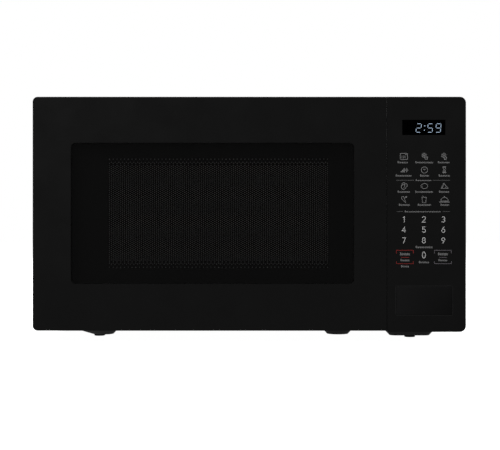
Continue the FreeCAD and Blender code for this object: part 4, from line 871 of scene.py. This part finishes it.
button_low, button_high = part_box("release_button")
RIM_OFFSET, RIM_WIDTH, RIM_HEIGHT, RIM_CORNER = 0.52 * MM, 0.72 * MM, 0.12 * MM, 1.1 * MM
rim = bmesh.new()
outline = rounded(
    (button_low.x - RIM_OFFSET, button_high.x + RIM_OFFSET),
    (button_low.z - RIM_OFFSET, button_high.z + RIM_OFFSET),
    RIM_CORNER,
)
ribbon(rim, outline, RIM_WIDTH, overlay_low.y - RIM_HEIGHT, overlay_low.y, True)
piece("button_rim", rim, gloss_black("rim_plastic", (0.0170, 0.0170, 0.0172), 0.3), "oven")

# ---------------------------------------------------------------- return springs of the release button

springs_low, springs_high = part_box("button_springs")
PRESS_ROOM = 6.4 * MM
COIL_RADIUS, WIRE_RADIUS, COIL_TURNS = 3.0 * MM, 0.4 * MM, 6
TURN_STEPS, WIRE_SIDES = 24, 8


def spring(bm, x, z, front, back):
    """A closed coil of round wire along Y."""
    steps = COIL_TURNS * TURN_STEPS
    first, last = front + WIRE_RADIUS, back - WIRE_RADIUS
    rings = []
    for i in range(steps + 1):
        turn = math.tau * i / TURN_STEPS
        ring = []
        for k in range(WIRE_SIDES):
            side = math.tau * k / WIRE_SIDES
            reach = COIL_RADIUS + WIRE_RADIUS * math.cos(side)
            y = first + (last - first) * i / steps + WIRE_RADIUS * math.sin(side)
            ring.append(bm.verts.new((x + reach * math.cos(turn), y, z + reach * math.sin(turn))))
        rings.append(ring)
    for a, b in zip(rings, rings[1:]):
        for k in range(WIRE_SIDES):
            j = (k + 1) % WIRE_SIDES
            bm.faces.new((a[k], a[j], b[j], b[k]))
    bm.faces.new(rings[0])
    bm.faces.new(rings[-1][::-1])


# they are drawn at the length they have under a pressed button, so that they never come through its face
coils = bmesh.new()
spring_z = (springs_low.z + springs_high.z) / 2
for spring_x in (springs_low.x + COIL_RADIUS + WIRE_RADIUS, springs_high.x - COIL_RADIUS - WIRE_RADIUS):
    spring(coils, spring_x, spring_z, springs_low.y + PRESS_ROOM, springs_high.y)
pressed_springs = piece("pressed_springs", coils, LOOK["spring_steel"], "oven")
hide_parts("button_springs")

# ---------------------------------------------------------------- blank plate on the back

# the rear panel lies a little in front of the casing's rear edge
REAR_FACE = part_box("outer_casing")[1].y - 0.9 * MM
label_plate = bmesh.new()
plate(label_plate, rounded((-0.090, -0.010), (0.118, 0.168), 0.003), REAR_FACE + 0.15 * MM, REAR_FACE)
piece("blank_plate", label_plate, brushed("plate_foil", (0.75, 0.75, 0.76), 0.35, (1.0, 1.0, 10.0)), "oven")

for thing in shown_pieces():
    smooth(thing)

# ---------------------------------------------------------------- floor, lights and camera

floor_mesh = bmesh.new()
bmesh.ops.create_grid(floor_mesh, x_segments=2, y_segments=2, size=6.0)
floor_data = bpy.data.meshes.new("floor")
floor_mesh.to_mesh(floor_data)
floor_mesh.free()
floor = bpy.data.objects.new("floor", floor_data)
bpy.context.scene.collection.objects.link(floor)
floor_look = Graph("floor_pale", (0.9, 0.9, 0.9), 0.8, Specular_IOR_Level=0.0)
floor_look.mottle(0.01, 3.0)
floor_look.shader.inputs["Emission Color"].default_value = (1.0, 1.0, 1.0, 1.0)
floor_look.shader.inputs["Emission Strength"].default_value = 0.985
floor_data.materials.append(floor_look.material)
floor.visible_glossy = False
floor.visible_diffuse = False

world = bpy.data.worlds.new("studio")
bpy.context.scene.world = world
world.use_nodes = True
sky = world.node_tree.nodes["Background"]
sky.inputs["Color"].default_value = (1.0, 1.0, 1.0, 1.0)
# white behind the oven, and dim where the oven reflects it
seen = world.node_tree.nodes.new("ShaderNodeLightPath")
strength = world.node_tree.nodes.new("ShaderNodeMapRange")
strength.inputs["To Min"].default_value = 0.10
strength.inputs["To Max"].default_value = 1.0
world.node_tree.links.new(seen.outputs["Is Camera Ray"], strength.inputs["Value"])
world.node_tree.links.new(strength.outputs["Result"], sky.inputs["Strength"])


def softbox(label, place, target, width, height, watts, colour=(1.0, 1.0, 1.0)):
    """A rectangular studio light turned to a point."""
    lamp = bpy.data.lights.new(label, "AREA")
    lamp.shape = "RECTANGLE"
    lamp.size, lamp.size_y = width, height
    lamp.energy = watts
    lamp.color = colour
    made = bpy.data.objects.new(label, lamp)
    bpy.context.scene.collection.objects.link(made)
    made.location = place
    made.rotation_euler = (Vector(target) - Vector(place)).to_track_quat("-Z", "Y").to_euler()


softbox("key", (-1.3, -1.5, 1.7), (0, 0, 0.12), 1.4, 1.0, 26)
softbox("overhead", (0.0, 0.1, 2.2), (0, 0, 0.1), 2.0, 2.0, 40)
softbox("right", (1.9, -0.2, 1.0), (0, 0, 0.12), 0.9, 1.4, 16)
softbox("back", (0.3, 2.0, 1.4), (0, 0, 0.12), 1.6, 1.2, 26)

camera_data = bpy.data.cameras.new("camera")
camera_data.lens = 76.0
camera_data.sensor_width = 36.0
camera = bpy.data.objects.new("camera", camera_data)
bpy.context.scene.collection.objects.link(camera)
camera.location = (0.71 * MM, -1.2692, 122.52 * MM)
camera.rotation_euler = (math.radians(90.0), 0.0, 0.0)
bpy.context.scene.camera = camera
bpy.context.scene.view_settings.view_transform = "Standard"
